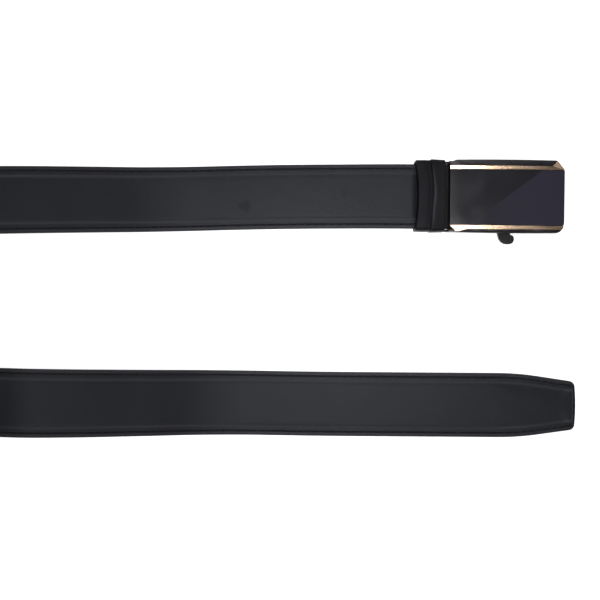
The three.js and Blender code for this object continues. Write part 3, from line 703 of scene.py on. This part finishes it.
class StrapForm:
    """The strap's section and outline, from its sizes"""

    # Distances from the edge of the section's points on top, and the panel's as shares of what is left
    TOP_INSETS = [0.5, 1.0, 1.5, 1.85, 2.0, 2.13, 2.27, 2.4, 2.53, 2.67, 2.8, 2.95, 3.4, 3.9, 4.4, 4.7, 5.0, 5.3, 5.6]
    TOP_INSETS += [5.9, 6.3, 6.8]
    PANEL_SHARES = [0.85, 0.65, 0.45, 0.25, 0.1]
    BACK_SHARES = [0.9, 0.7, 0.5]
    ROUND_STEPS = 4
    # Rows of points from the tip on: up to this distance, at this step. All in millimetres.
    TIP_STEPS = [(0.52, 0.13), (2.6, 0.12), (6.6, 0.25), (12, 0.6), (48, 1.5)]
    ROOM_BY_WALL = 0.3

    def __init__(self, strap, tip):
        self.strap = strap
        self.tip = tip
        self.pressed_from = strap.length - strap.pressed_length

    def tapered_half(self, s):
        full = self.strap.width / 2
        if s >= self.tip.length:
            return full
        share = 1 - s / self.tip.length
        knee = self.tip.knee
        narrowing = (share**2 / (2 * knee) if share < knee else share - knee / 2) / (1 - knee / 2)
        return full - (full - self.tip.end_width / 2) * narrowing

    def half(self, s):
        r = self.tip.corner
        cut = 0.0 if s >= r else r - math.sqrt(r * r - (r - s) ** 2)
        return self.tapered_half(s) - cut

    def inset(self, a, s, corner, end_pull):
        """Distance from the outline, with the tip's corners rounded. end_pull draws the end's lines closer to it."""
        beside, beyond = self.tapered_half(s) - abs(a), s * end_pull
        if beside < corner and beyond < corner:
            return corner - math.hypot(corner - beside, corner - beyond)
        return min(beside, beyond)

    def pressed(self, s):
        return smooth(self.pressed_from - self.strap.pressed_ramp, self.pressed_from, s)

    def rounding(self, inset):
        """How far the rounded edge falls at a distance from the outline"""
        r = self.strap.edge_round
        return 0.0 if inset >= r else r - math.sqrt(max(r * r - (r - max(inset, 0.0)) ** 2, 0.0))

    def top(self, a, s):
        """Height of the outer face above the back"""
        strap = self.strap
        pressed = self.pressed(s)
        border = strap.border + (strap.pressed - strap.border) * pressed
        near = self.inset(a, s, self.tip.corner, self.tip.groove_pull)
        back = smooth(FADE["back_from"] * self.tip.length, FADE["back_to"] * self.tip.length, s)
        faded = self.tip.fade * (1 - back) * smooth(FADE["from"], FADE["to"], s)
        height = border - self.rounding(self.inset(a, s, self.tip.corner, 1.0))
        across_groove = abs(near - strap.groove_inset) / (strap.groove_width / 2)
        if across_groove < 1:
            height -= strap.groove_depth * (1 - pressed) * (1 - faded) * (1 + math.cos(math.pi * across_groove)) / 2
        panel = self.inset(a, s, self.tip.panel_corner, self.tip.panel_pull)
        shoulder_end = strap.shoulder_end + faded * FADE["wider"]
        height += strap.padding * (1 - pressed) * smooth(strap.shoulder_start, shoulder_end, panel)
        swell = max(1 - (a / (self.tapered_half(s) - strap.shoulder_start)) ** 2, 0.0)
        return height + strap.crown * (1 - pressed) * swell * smooth(strap.shoulder_start, 3 * strap.shoulder_end, s)

    def back(self, a, s, recess):
        return max(self.rounding(self.inset(a, s, self.tip.corner, 1.0)), recess)

    def half_section(self, s, recess):
        """Points (across, above the back) from the back's middle round the edge to the face's middle"""
        half, r = self.half(s), self.strap.edge_round
        channel = TRACK["width"] / 2 + CHANNEL["room"]
        back = [(0.0, recess), (channel - CHANNEL["wall"], recess), (channel, 0.0)]
        back += [(channel + (half - r - channel) * (1 - share), 0.0) for share in self.BACK_SHARES]
        points = [(a, self.back(a, s, n)) for a, n in back]
        turns = [i / self.ROUND_STEPS * math.pi / 2 for i in range(self.ROUND_STEPS + 1)]
        for turn in turns:
            a = half - r * (1 - math.sin(turn))
            points.append((a, self.back(a, s, 0.0)))
        foot, brow = self.back(half, s, 0.0), self.top(half, s)
        points += [(half, foot + (brow - foot) * share) for share in (0.33, 0.67)]
        for turn in reversed(turns[1:]):
            a = half - r * (1 - math.sin(turn))
            points.append((a, self.top(a, s)))
        points += [(half - inset * MM, self.top(half - inset * MM, s)) for inset in self.TOP_INSETS]
        left_over = half - self.TOP_INSETS[-1] * MM
        points += [(left_over * share, self.top(left_over * share, s)) for share in self.PANEL_SHARES]
        return points

    def stations(self):
        """Distances from the tip, close together where the surface turns"""
        pressed_from, length = self.pressed_from / MM, self.strap.length / MM
        stations, s = [0.0, 0.04], 0.13
        for until, step in [*self.TIP_STEPS, (pressed_from - 8, 3.0), (pressed_from, 1.0), (length, 4.0)]:
            while s < until - step / 2:
                stations.append(s)
                s += step
            s = max(s, until)
        ends = [CHANNEL["from"], CHANNEL["to"]]
        walls = [(end + nudge) / MM for end in ends for nudge in (-CHANNEL["wall"], CHANNEL["wall"])]
        kept = [s for s in stations if all(abs(s - wall) > self.ROOM_BY_WALL for wall in walls)]
        return [s * MM for s in sorted(kept + walls + [length])]

    def recess(self, s):
        return CHANNEL["depth"] if CHANNEL["from"] < s < CHANNEL["to"] else 0.0

    def ahead(self, a, s):
        """The tip's end bows out in its middle"""
        return -self.tip.bow * (1 - smooth(0, 6 * MM, s)) * (1 - (a / self.half(s)) ** 2)


def make_strap(route, form):
    stations = form.stations()
    sections = []
    for s in stations:
        right = form.half_section(s, form.recess(s))
        sections.append(right + [(-a, n) for a, n in reversed(right[1:])])
    rings = []
    for s, section in zip(stations, sections):
        axes = route.at(s)
        rings.append(
            [
                axes["centre"] + axes["across"] * a + axes["out"] * n + axes["along"] * form.ahead(a, s)
                for a, n in section
            ]
        )
    middle = sections[len(sections) // 2]
    girth = [0.0]
    for before, after in zip(middle, middle[1:] + middle[:1]):
        girth.append(girth[-1] + math.dist(before, after))
    edge_first = 3 + len(form.BACK_SHARES)  # after the channel's three points
    edge_last = edge_first + 2 * form.ROUND_STEPS + 1
    last = len(middle) - 1

    def slot_of(j):
        j = min(j, last - j)
        return 2 if j < edge_first else 1 if j < edge_last - 1 else 0

    uv = lambda i, j: (stations[i], girth[j])
    mesh = loft("strap_leather", rings, uv=uv, slot_of=slot_of)
    wear = mesh.attributes.new("wear", "FLOAT", "POINT")
    shoulder = (form.strap.shoulder_start + form.strap.shoulder_end) / 2
    # Painted highlight: a line along the panel's shoulder, stronger at the tip's very end, and a band along the
    # outline
    values = []
    for s, section in zip(stations, sections):
        for a, _ in section:
            near = form.inset(a, s, form.tip.corner, form.tip.panel_pull)
            shoulder_highlight = math.exp(-(((near - shoulder + HIGHLIGHT_BANDS["outside"]) / HIGHLIGHT_BANDS["spread"]) ** 2))
            end = 1 - smooth(HIGHLIGHT_BANDS["end_from"], HIGHLIGHT_BANDS["end_to"], s)
            at_outline = form.inset(a, s, form.tip.corner, 1.0) < HIGHLIGHT_BANDS["outline_width"]
            values.append((HIGHLIGHT_BANDS["shoulder"] + HIGHLIGHT_BANDS["end"] * end) * shoulder_highlight + HIGHLIGHT_BANDS["outline"] * at_outline)
    wear.data.foreach_set("value", values)
    piece = finish_object(
        "strap_leather", mesh, [finish_of("leather"), finish_of("edge"), finish_of("lining")], sharp=50
    )
    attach(piece, "root")
    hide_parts("strap")


# Stitches


# The seam ends before the pressed end and turns at the tip. It lies a little above the groove's bottom.
SEAM = {"end": 4 * MM, "step": 2 * MM, "fine_step": 1 * MM, "fine_before": 60 * MM, "turn": 2 * MM, "lift": 0.12 * MM}
SEAM_TURN = [(0.0, 1.5 * MM), (0.4 * MM, 0.5 * MM), (1.4 * MM, 0.0)]  # inwards from the side, and before the end

# Largest lean of a stitch either way, as angles about its length, its breadth and the strap's face
LEAN = (0.02, 0.03, 0.05)


def stitch_path(route, form):
    """Points and face directions along the groove: up one side, round the tip and back down the other"""
    inset = form.strap.groove_inset
    end = inset / form.tip.groove_pull
    side = []
    s = form.pressed_from - SEAM["end"]
    while s > end + SEAM["turn"]:
        side.append((form.tapered_half(s) - inset, s))
        s -= SEAM["step"] if s > SEAM["fine_before"] else SEAM["fine_step"]
    knee = form.tapered_half(end + SEAM["turn"]) - inset
    turn = [(knee - inwards, end + before) for inwards, before in SEAM_TURN]
    across = [(knee * share, end) for share in (0.75, 0.5, 0.25)]
    right = side + turn + across
    path = right + [(0.0, end)] + [(-a, s) for a, s in reversed(right)]
    points = [route.on_strap(a, s, form.top(a, s) + SEAM["lift"], form.ahead(a, s)) for a, s in path]
    outs = [route.at(s)["out"] for _, s in path]
    return points, outs


def stitch_tree(material):
    """Resamples a path to the stitch pitch and lays one thread on each point, along the path"""
    tree = bpy.data.node_groups.new("Lay stitches", "GeometryNodeTree")
    face = tree.interface
    face.new_socket("Geometry", in_out="INPUT", socket_type="NodeSocketGeometry")
    kinds = {"Pitch": "Float", "Length": "Float", "Thread": "Float", "Seed": "Int"}
    sockets = {
        name: face.new_socket(name, in_out="INPUT", socket_type=f"NodeSocket{kind}") for name, kind in kinds.items()
    }
    face.new_socket("Geometry", in_out="OUTPUT", socket_type="NodeSocketGeometry")
    given = add(tree, "NodeGroupInput")
    curve = add(tree, "GeometryNodeMeshToCurve", {"Mesh": (given, "Geometry")})
    pitch = {"Curve": (curve, "Curve"), "Length": (given, "Pitch")}
    spaced = add(tree, "GeometryNodeResampleCurve", pitch, mode="LENGTH")
    tangent = {"Vector": (add(tree, "GeometryNodeInputTangent"), "Tangent")}
    along = add(tree, "FunctionNodeAlignRotationToVector", tangent, axis="X")
    out = add(tree, "GeometryNodeInputNamedAttribute", {"Name": "out"}, data_type="FLOAT_VECTOR")
    facing = {"Rotation": (along, "Rotation"), "Vector": (out, "Attribute")}
    upright = add(tree, "FunctionNodeAlignRotationToVector", facing, axis="Z", pivot_axis="X")
    ends = {"Min": tuple(-angle for angle in LEAN), "Max": LEAN, "Seed": (given, "Seed")}
    lean = add(tree, "FunctionNodeRandomValue", ends, data_type="FLOAT_VECTOR")
    leaning = add(tree, "FunctionNodeEulerToRotation", {"Euler": (lean, "Value")})
    both = {"Rotation": (upright, "Rotation"), "Rotate By": (leaning, "Rotation")}
    turned = add(tree, "FunctionNodeRotateRotation", both, rotation_space="LOCAL")
    bead = add(tree, "GeometryNodeMeshUVSphere", {"Segments": 8, "Rings": 5, "Radius": 0.5})
    size_of = {"X": (given, "Length"), "Y": (given, "Thread"), "Z": (given, "Thread")}
    scale = add(tree, "ShaderNodeCombineXYZ", size_of)
    way = {"Rotation": (turned, "Rotation"), "Scale": (scale, "Vector")}
    laid = add(tree, "GeometryNodeInstanceOnPoints", {"Points": (spaced, "Curve"), "Instance": (bead, "Mesh"), **way})
    real = add(tree, "GeometryNodeRealizeInstances", {"Geometry": (laid, "Instances")})
    painted = add(tree, "GeometryNodeSetMaterial", {"Geometry": (real, "Geometry"), "Material": material})
    add(tree, "NodeGroupOutput", {"Geometry": (painted, "Geometry")})
    return tree, sockets


def make_stitches(route, form, sizes):
    points, outs = stitch_path(route, form)
    mesh = bpy.data.meshes.new("stitches")
    mesh.from_pydata(points, [(i, i + 1) for i in range(len(points) - 1)], [])
    facing = mesh.attributes.new("out", "FLOAT_VECTOR", "POINT")
    facing.data.foreach_set("vector", [value for out in outs for value in out])
    piece = bpy.data.objects.new("stitches", mesh)
    bpy.context.scene.collection.objects.link(piece)
    tree, sockets = stitch_tree(finish_of("thread"))
    laying = piece.modifiers.new("Lay stitches", "NODES")
    laying.node_group = tree
    for name, socket in sockets.items():
        laying[socket.identifier] = getattr(sizes, name.lower())
    applied(piece)
    piece.data.shade_smooth()
    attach(piece, "root")


# Keeper loop


CLAMP = {"room": 0.3 * MM, "wall": 0.8 * MM}  # over the pressed end
CORNER_STEPS = 8
SIDE_STEPS = (6, 44, 6, 14)  # right, top, left, bottom

# Columns along the loop's outer side, drawn in millimetres for a loop that is as long as the last one
LOOP_COLUMNS = [0, 0.03, 0.1, 0.22, 0.45, 1.2, 2.4, 3.8, 5, 5.8, 6.4]
LOOP_COLUMNS += [6.8 + 0.22 * i for i in range(18)] + [11, 12, 13, 14, 14.8, 15.4, 15.75, 15.98, 16.1, 16.17, 16.2]
GIRTH_COLUMN = 8  # where the girth is measured

# The step over the clamp's edge bows out and waves across the loop. Distances past it: where it climbs, where it
# starts to fall and by what share, and the dip before it. The left end is skived.
WAVE = {"bow": 0.9 * MM, "height": 0.25 * MM, "turn": 5.2, "phase": 0.7}
STEP = {"climb_from": -0.75 * MM, "climb_to": 0.35 * MM, "fall_from": 0.5 * MM, "fall": 0.65}
DIP = {"at": -1.3 * MM, "spread": 1.1 * MM, "depth": 0.3}
SKIVE = {"depth": 0.12 * MM, "length": 6 * MM}

# Painted highlight as paler leather: on the step's crest, less towards the upper side, and faint painted light all
# over the raised right band
CREST = {"at": 0.7 * MM, "spread": 0.75 * MM, "wear": 0.5, "less": 0.3}
BAND = {"half_width": 0.5 * MM, "wear": 0.08}


def loop_path(loop, strap):
    """Round the loop's inner side: place and outward direction, in the buckle's own frame"""
    low = loop.wall
    high = SEAT["height"] + strap.pressed + CLAMP["room"] + CLAMP["wall"] + loop.tip_gap
    half, r = strap.width / 2 + loop.side_room, loop.corner
    corners = [(half - r, low + r, -90), (half - r, high - r, 0), (r - half, high - r, 90), (r - half, low + r, 180)]
    path = []
    for i, (y, z, turn) in enumerate(corners):
        y_next, z_next = corners[(i + 1) % 4][:2]
        places = [(y, z, turn + step / CORNER_STEPS * 90) for step in range(CORNER_STEPS + 1)]
        for step in range(1, SIDE_STEPS[i]):
            share = step / SIDE_STEPS[i]
            places.append((y + (y_next - y) * share, z + (z_next - z) * share, turn + 90))
        for y_at, z_at, degrees in places:
            ny, nz = math.cos(math.radians(degrees)), math.sin(math.radians(degrees))
            path.append((y_at + r * ny, z_at + r * nz, ny, nz))
    return path


def past_ridge(loop, x, share):
    """Distance past the wavy step over the clamp's edge"""
    wave = WAVE["bow"] + WAVE["height"] * math.sin(WAVE["turn"] * share + WAVE["phase"])
    return x - loop.ridge_at - wave * (1 - share**2)


def loop_outside(loop, x, y, on_top, half):
    """Thickness of the loop's leather: rounded edges, a dip, and the step over the clamp's edge"""
    r = loop.edge_round
    edge = min(x, loop.length - x)
    height = loop.wall - (0.0 if edge >= r else r - math.sqrt(max(r * r - (r - edge) ** 2, 0.0)))
    past = past_ridge(loop, x, y / half)
    climb = smooth(STEP["climb_from"], STEP["climb_to"], past)
    fall = STEP["fall"] * smooth(STEP["fall_from"], loop.length - x + past, past)
    dip = DIP["depth"] * math.exp(-(((past - DIP["at"]) / DIP["spread"]) ** 2))
    skived = SKIVE["depth"] * (1 - smooth(0, SKIVE["length"], x))
    return height - skived + loop.ridge * on_top * (climb * (1 - fall) - dip)


def make_loop(route, loop, strap):
    half = strap.width / 2 + loop.side_room
    stretch = loop.length / LOOP_COLUMNS[-1]
    start = -loop.stand_off - loop.length
    rings, wear = [], []
    for y, z, ny, nz in loop_path(loop, strap):
        on_top = smooth(0.3, 1, nz) * (1 - (y / half) ** 2)
        raised = smooth(-0.5, 0.5, nz)
        bow = lambda x: loop.waist * on_top * (1 - x / loop.length)
        ring = []
        for column in LOOP_COLUMNS:
            x = column * stretch
            reach = loop_outside(loop, x, y, raised, half)
            ring.append(route.at_buckle(start + x + bow(x), y + ny * reach, z + nz * reach))
            # Painted highlight on the step's crest and faint painted light on the raised right band
            past = past_ridge(loop, x, y / half)
            crest = math.exp(-(((past - CREST["at"]) / CREST["spread"]) ** 2))
            band = BAND["wear"] * smooth(-BAND["half_width"], BAND["half_width"], past)
            wear.append(on_top * (band + crest * (CREST["wear"] - CREST["less"] * y / half)))
        for share in (1, 0.66, 0.33, 0):
            x = loop.length * share
            ring.append(route.at_buckle(start + x + bow(x), y, z))
            wear.append(0.0)
        rings.append(ring)
    girth, lengths = [0.0], [0.0]
    for before, after in zip(rings, rings[1:] + rings[:1]):
        girth.append(girth[-1] + (after[GIRTH_COLUMN] - before[GIRTH_COLUMN]).length)
    for before, after in zip(rings[0], rings[0][1:] + rings[0][:1]):
        lengths.append(lengths[-1] + (after - before).length)
    mesh = loft("keeper_leather", rings, closed_rings=True, uv=lambda i, j: (girth[i], lengths[j]))
    mesh.attributes.new("wear", "FLOAT", "POINT").data.foreach_set("value", wear)
    piece = finish_object("keeper_leather", mesh, [finish_of("loop")], sharp=60)
    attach(piece, "root")
    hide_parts("keeper_loop")


# Buckle


LEAST_WIDTH = 0.1 * MM  # of a strip of the face or of a gold bevel
FACE_STEPS = {"along": 72, "across": 8}
TRIM_STEPS = 24  # in half the length

# How blue the face's lower right plane is at its left, and the share of the half length over which that grows
BLUE = {"least": 0.25, "reach": 0.45}

# Pins: length of the domed ends over the radius, and along the dome the share of its length and of the radius
DOME = 0.35
DOME_ROWS = [(0.0, 0.02), (0.12, 0.5), (0.45, 0.85), (1.0, 1.0)]
PIN_SIDES = 32


def crown_at(x, sizes):
    return sizes.crown * (1 - (x / (sizes.length / 2)) ** 2)


def face_edge(way, sizes):
    """The face's upper long edge (way 1) or its lower one (way -1), from the rim's middle"""
    return sizes.face_half - way * sizes.face_offset


def make_face(route, sizes):
    """Two planes that meet in a shallow diagonal crease, and a bevelled right end"""
    half_length = sizes.length / 2
    high = face_edge(1, sizes) - sizes.clearance / 2
    low = sizes.clearance / 2 - face_edge(-1, sizes)
    bottom = sizes.deck + sizes.clearance
    middle = sizes.start + half_length
    bevel_start = half_length - sizes.end_bevel
    tilt = sizes.crease_tilt / math.hypot(1, sizes.crease_slope)
    steps, rows = FACE_STEPS["along"], FACE_STEPS["across"]
    stations = [-half_length + (bevel_start + half_length) * i / steps for i in range(steps + 1)]
    stations += [bevel_start + sizes.end_bevel * share for share in (0.5, 1)]

    def ring(x):
        crease = min(max(sizes.crease_slope * x, low + LEAST_WIDTH), high - LEAST_WIDTH)
        drop = sizes.end_drop * max((x - bevel_start) / sizes.end_bevel, 0.0)
        ys = [high + (crease - high) * i / rows for i in range(rows)]
        ys += [crease + (low - crease) * i / rows for i in range(rows + 1)]
        floor = bottom + crown_at(x, sizes)
        top = [sizes.face_top + crown_at(x, sizes) - tilt * abs(y - sizes.crease_slope * x) - drop for y in ys]
        points = [(low, floor), (high, floor)] + list(zip(ys, top))
        return [route.at_buckle(middle + x, y, z) for y, z in points]

    mesh = loft("face_lacquer", [ring(x) for x in stations])
    cut_corners(mesh, route, sizes)
    plane = mesh.attributes.new("plane", "FLOAT", "CORNER")
    across = Vector((-route.ahead.y, route.ahead.x, 0))
    centre = route.at_buckle(middle, 0, 0)
    values = []
    reach = BLUE["reach"] * half_length
    for polygon in mesh.polygons:
        from_centre = polygon.center - centre
        x = from_centre.dot(route.ahead)
        below = from_centre.dot(across) < sizes.crease_slope * x
        blue = BLUE["least"] + (1 - BLUE["least"]) * smooth(-reach, reach, x) if below else 0.0
        values += [blue] * polygon.loop_total
    plane.data.foreach_set("value", values)
    piece = finish_object("face_lacquer", mesh, [finish_of("face")], sharp=0.4)
    piece = bevelled(piece, sizes.edge * 0.8)
    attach(piece, "buckle")
    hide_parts("face_panel")


def bevel_outer(bevel, share, sizes):
    """Outer edge of a gold bevel: straight, then out along the corner facet"""
    straight = face_edge(bevel["way"], sizes) + sizes.trim_width
    corner = bevel["outer_y"] * sizes.half_rim
    out = (share - bevel["from"]) / (bevel["outer_x"] - bevel["from"])
    return straight + (corner - straight) * min(max(out, 0.0), 1.0)


def facet_plane(bevel, edge, sizes):
    """The corner facet: rise per share of the half length, rise outwards. It meets the bevel on a line from the
    rim, where the facet starts, to the face's corner."""
    out = bevel["outer_y"] * sizes.half_rim - edge - sizes.trim_width
    ahead = bevel["outer_x"] - bevel["from"]
    drop = sizes.facet_low - sizes.rim_top
    left = 1 - bevel["from"]
    outwards = (ahead * (sizes.face_top - sizes.rim_top) - left * drop) / (-ahead * sizes.trim_width - left * out)
    return (drop - outwards * out) / ahead, outwards


def make_trim(route, sizes, name):
    bevel = BEVELS[name]
    way = bevel["way"]
    half_length = sizes.length / 2
    middle = sizes.start + half_length
    edge = face_edge(way, sizes)
    straight = edge + sizes.trim_width
    inner = edge + sizes.clearance / 2
    bottom = sizes.deck + sizes.clearance
    fall = (sizes.face_top - sizes.rim_top) / sizes.trim_width
    along, outwards = facet_plane(bevel, edge, sizes)
    shares = {-1 + i / TRIM_STEPS for i in range(2 * TRIM_STEPS + 1)} | {bevel["from"], bevel["outer_x"]}
    rings = []
    for share in sorted(shares):
        x, outer = share * half_length, bevel_outer(bevel, share, sizes)
        crown = crown_at(x, sizes)
        past = max(share - bevel["from"], 0.0)
        crease = straight - sizes.trim_width * past / (1 - bevel["from"])
        crease = max(min(crease, straight - LEAST_WIDTH), inner + LEAST_WIDTH)
        top = lambda y: sizes.face_top - fall * (y - edge)
        brow = sizes.rim_top + along * past + outwards * (outer - straight)
        corners = [(inner, bottom), (outer, bottom), (outer, brow), (crease, top(crease)), (inner, top(inner))]
        rings.append([route.at_buckle(middle + way * x, way * y, z + crown) for y, z in corners])
    mesh = loft(name, rings)
    cut_corners(mesh, route, sizes)
    piece = finish_object(name, mesh, [finish_of("gold")], sharp=4)
    piece = bevelled(piece, sizes.edge * 0.6, limit=25)
    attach(piece, "buckle")
    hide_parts(bevel["node"])


def make_metal(node, name, body, sizes, edge=1.0, finish="black metal"):
    """A rigid piece: the CAD node's own shape with broken edges"""
    piece = finish_object(name, merged_copy(node), [finish_of(finish)])
    piece = bevelled(piece, sizes.edge * edge)
    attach(piece, body)
    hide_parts(node)


def make_pin(route, name, node, body, sizes):
    """A turned pin with domed, riveted ends"""
    low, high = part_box(node)
    radius = (high.z - low.z) / 2
    centre = (low + high) / 2
    across = Vector((-route.ahead.y, route.ahead.x, 0))
    reach = ((high.y - low.y) - 2 * radius * abs(route.ahead.y)) / 2 / abs(across.y)
    rows = [(-reach + along * DOME * radius, size) for along, size in DOME_ROWS]
    rows += [(-way, size) for way, size in reversed(rows)]
    turns = [2 * math.pi * i / PIN_SIDES for i in range(PIN_SIDES)]
    spokes = [route.ahead * math.cos(turn) + Vector((0, 0, 1)) * math.sin(turn) for turn in turns]
    rings = [[centre + across * way + spoke * radius * size for spoke in spokes] for way, size in rows]
    piece = finish_object(name, loft(name, rings), [finish_of("steel")], sharp=50)
    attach(piece, body)
    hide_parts(node)


# Stage


# Middle of the picture on the floor, and the camera straight above it
VIEW = {"x": 139.12 * MM, "y": -0.4 * MM, "height": 0.5, "frame_width": 328.8 * MM, "sensor": 36.0}

FLOOR = {"half": 6.0, "height": -0.2 * MM, "glow": 0.9}
WORLD = (0.03, 0.03, 0.033)

# Where each light stands and what it is aimed at. The overhead one is a soft round pool of light that fades towards
# its edge, and metal and lacquer mirror the others.
OVERHEAD = {"place": (0.148, 0.01, 1.2), "target": (0.148, 0.01, 0.0), "watts": 30.5}
OVERHEAD |= {"cone": math.radians(15.5), "radius": 0.11}
SOFTBOXES = {
    "far softbox": {"place": (0.22, 1.05, 1.1), "target": (0.26, 0.05, 0.0), "size": (0.44, 0.26), "watts": 4.95},
    "near softbox": {"place": (0.25, -0.95, 1.3), "target": (0.26, 0.04, 0.0), "size": (0.44, 0.3), "watts": 4.9},
    "near card": {"place": (0.35, -0.3, 1.1), "target": (0.22, 0.04, 0.0), "size": (0.09, 0.09), "watts": 0.75},
    "far card": {"place": (0.42, 0.45, 1.1), "target": (0.28, 0.07, 0.0), "size": (0.25, 0.25), "watts": 0.085},
}


def add_light(name, kind, row, **values):
    data = bpy.data.lights.new(name, kind)
    for key, value in values.items():
        setattr(data, key, value)
    data.energy = row["watts"]
    light = bpy.data.objects.new(name, data)
    light.location = row["place"]
    light.rotation_euler = (Vector(row["target"]) - Vector(row["place"])).to_track_quat("-Z", "Y").to_euler()
    bpy.context.scene.collection.objects.link(light)


def make_stage(colours):
    scene = bpy.context.scene
    floor_mesh = bpy.data.meshes.new("floor")
    half = FLOOR["half"]
    corners = [(x, y, FLOOR["height"]) for x, y in ((-half, -half), (half, -half), (half, half), (-half, half))]
    floor_mesh.from_pydata(corners, [], [(0, 1, 2, 3)])
    floor = bpy.data.objects.new("floor", floor_mesh)
    glow = {"Emission_Color": (1, 1, 1, 1), "Emission_Strength": FLOOR["glow"]}
    floor_mesh.materials.append(Finish("Floor", colours.floor, 0.9, Specular_IOR_Level=0.0, **glow).material)
    scene.collection.objects.link(floor)

    world = bpy.data.worlds.new("Studio")
    world.use_nodes = True
    world.node_tree.nodes["Background"].inputs["Color"].default_value = (*WORLD, 1)
    scene.world = world

    cone, radius = OVERHEAD["cone"], OVERHEAD["radius"]
    add_light("overhead", "SPOT", OVERHEAD, spot_size=cone, spot_blend=1.0, shadow_soft_size=radius)
    for name, row in SOFTBOXES.items():
        width, depth = row["size"]
        add_light(name, "AREA", row, shape="RECTANGLE", size=width, size_y=depth)

    camera_data = bpy.data.cameras.new("camera")
    camera_data.sensor_width = VIEW["sensor"]
    camera_data.lens = VIEW["sensor"] * VIEW["height"] / VIEW["frame_width"]
    camera = bpy.data.objects.new("camera", camera_data)
    camera.location = (VIEW["x"], VIEW["y"], VIEW["height"])
    scene.collection.objects.link(camera)
    scene.camera = camera
    scene.view_settings.view_transform = "Standard"


# Operators and panel


class BELT_OT_stage(bpy.types.Operator):
    """Makes the floor, the lights and the camera"""

    bl_idname = "belt.stage"
    bl_label = "Stage"

    def execute(self, context):
        make_stage(context.scene.belt_colours)
        return {"FINISHED"}


class BELT_OT_strap(bpy.types.Operator):
    """Makes the padded strap with its groove, painted edges and lining"""

    bl_idname = "belt.strap"
    bl_label = "Strap"

    def execute(self, context):
        scene = context.scene
        make_strap(Route(scene.belt_strap), StrapForm(scene.belt_strap, scene.belt_tip))
        return {"FINISHED"}


class BELT_OT_stitches(bpy.types.Operator):
    """Lays the stitches in the strap's groove"""

    bl_idname = "belt.stitches"
    bl_label = "Stitches"

    def execute(self, context):
        scene = context.scene
        form = StrapForm(scene.belt_strap, scene.belt_tip)
        make_stitches(Route(scene.belt_strap), form, scene.belt_stitches)
        return {"FINISHED"}


class BELT_OT_track(bpy.types.Operator):
    """Gives the toothed strip on the tip's back its material"""

    bl_idname = "belt.track"
    bl_label = "Ratchet track"

    def execute(self, context):
        mesh = frame["nodes"]["ratchet_track"].data
        mesh.materials.clear()
        mesh.materials.append(finish_of("track"))
        return {"FINISHED"}


class BELT_OT_loop(bpy.types.Operator):
    """Makes the soft loop beside the buckle"""

    bl_idname = "belt.loop"
    bl_label = "Keeper loop"

    def execute(self, context):
        scene = context.scene
        make_loop(Route(scene.belt_strap), scene.belt_loop, scene.belt_strap)
        return {"FINISHED"}


class BELT_OT_buckle(bpy.types.Operator):
    """Makes the clamp, the buckle's frame, its lever and its pins"""

    bl_idname = "belt.buckle"
    bl_label = "Buckle"

    def execute(self, context):
        sizes = context.scene.belt_buckle
        route = Route(context.scene.belt_strap)
        make_metal("clamp", "clamp_jaws", "root", sizes, finish="shaded_jaws")
        make_metal("buckle_frame", "frame_metal", "buckle", sizes)
        make_metal("release_lever", "lever_metal", "lever", sizes, edge=3.0, finish="lever")
        make_pin(route, "hinge_rivet", "hinge_pin", "root", sizes)
        make_pin(route, "lever_rivet", "lever_pin", "buckle", sizes)
        return {"FINISHED"}


class BELT_OT_face(bpy.types.Operator):
    """Makes the creased glossy face and the two gold bevels"""

    bl_idname = "belt.face"
    bl_label = "Face and trims"

    def execute(self, context):
        sizes = context.scene.belt_buckle
        route = Route(context.scene.belt_strap)
        make_face(route, sizes)
        make_trim(route, sizes, "upper_gold")
        make_trim(route, sizes, "lower_gold")
        return {"FINISHED"}


class BELT_PT_panel(bpy.types.Panel):
    """Sizes, colours and pieces of the belt"""

    bl_idname = "BELT_PT_panel"
    bl_label = "Belt"
    bl_space_type = "VIEW_3D"
    bl_region_type = "UI"
    bl_category = "Belt"

    def draw(self, context):
        layout = self.layout
        for operator in OPERATORS:
            layout.operator(operator.bl_idname)
        for name in GROUPS:
            box = layout.box()
            box.label(text=name.removeprefix("belt_").capitalize())
            group = getattr(context.scene, name)
            for key in group.bl_rna.properties.keys():
                if key not in ("rna_type", "name"):
                    box.prop(group, key)


OPERATORS = [
    BELT_OT_stage,
    BELT_OT_strap,
    BELT_OT_stitches,
    BELT_OT_track,
    BELT_OT_loop,
    BELT_OT_buckle,
    BELT_OT_face,
]


def register():
    for name, group in GROUPS.items():
        bpy.utils.register_class(group)
        setattr(bpy.types.Scene, name, PointerProperty(type=group))
    for item in [*OPERATORS, BELT_PT_panel]:
        bpy.utils.register_class(item)


def unregister():
    for item in reversed([*OPERATORS, BELT_PT_panel]):
        bpy.utils.unregister_class(item)
    for name, group in reversed(GROUPS.items()):
        delattr(bpy.types.Scene, name)
        bpy.utils.unregister_class(group)


def main():
    register()
    bpy.ops.belt.stage()
    bpy.ops.belt.strap()
    bpy.ops.belt.stitches()
    bpy.ops.belt.track()
    bpy.ops.belt.loop()
    bpy.ops.belt.buckle()
    bpy.ops.belt.face()


if __name__ == "__main__":
    main()
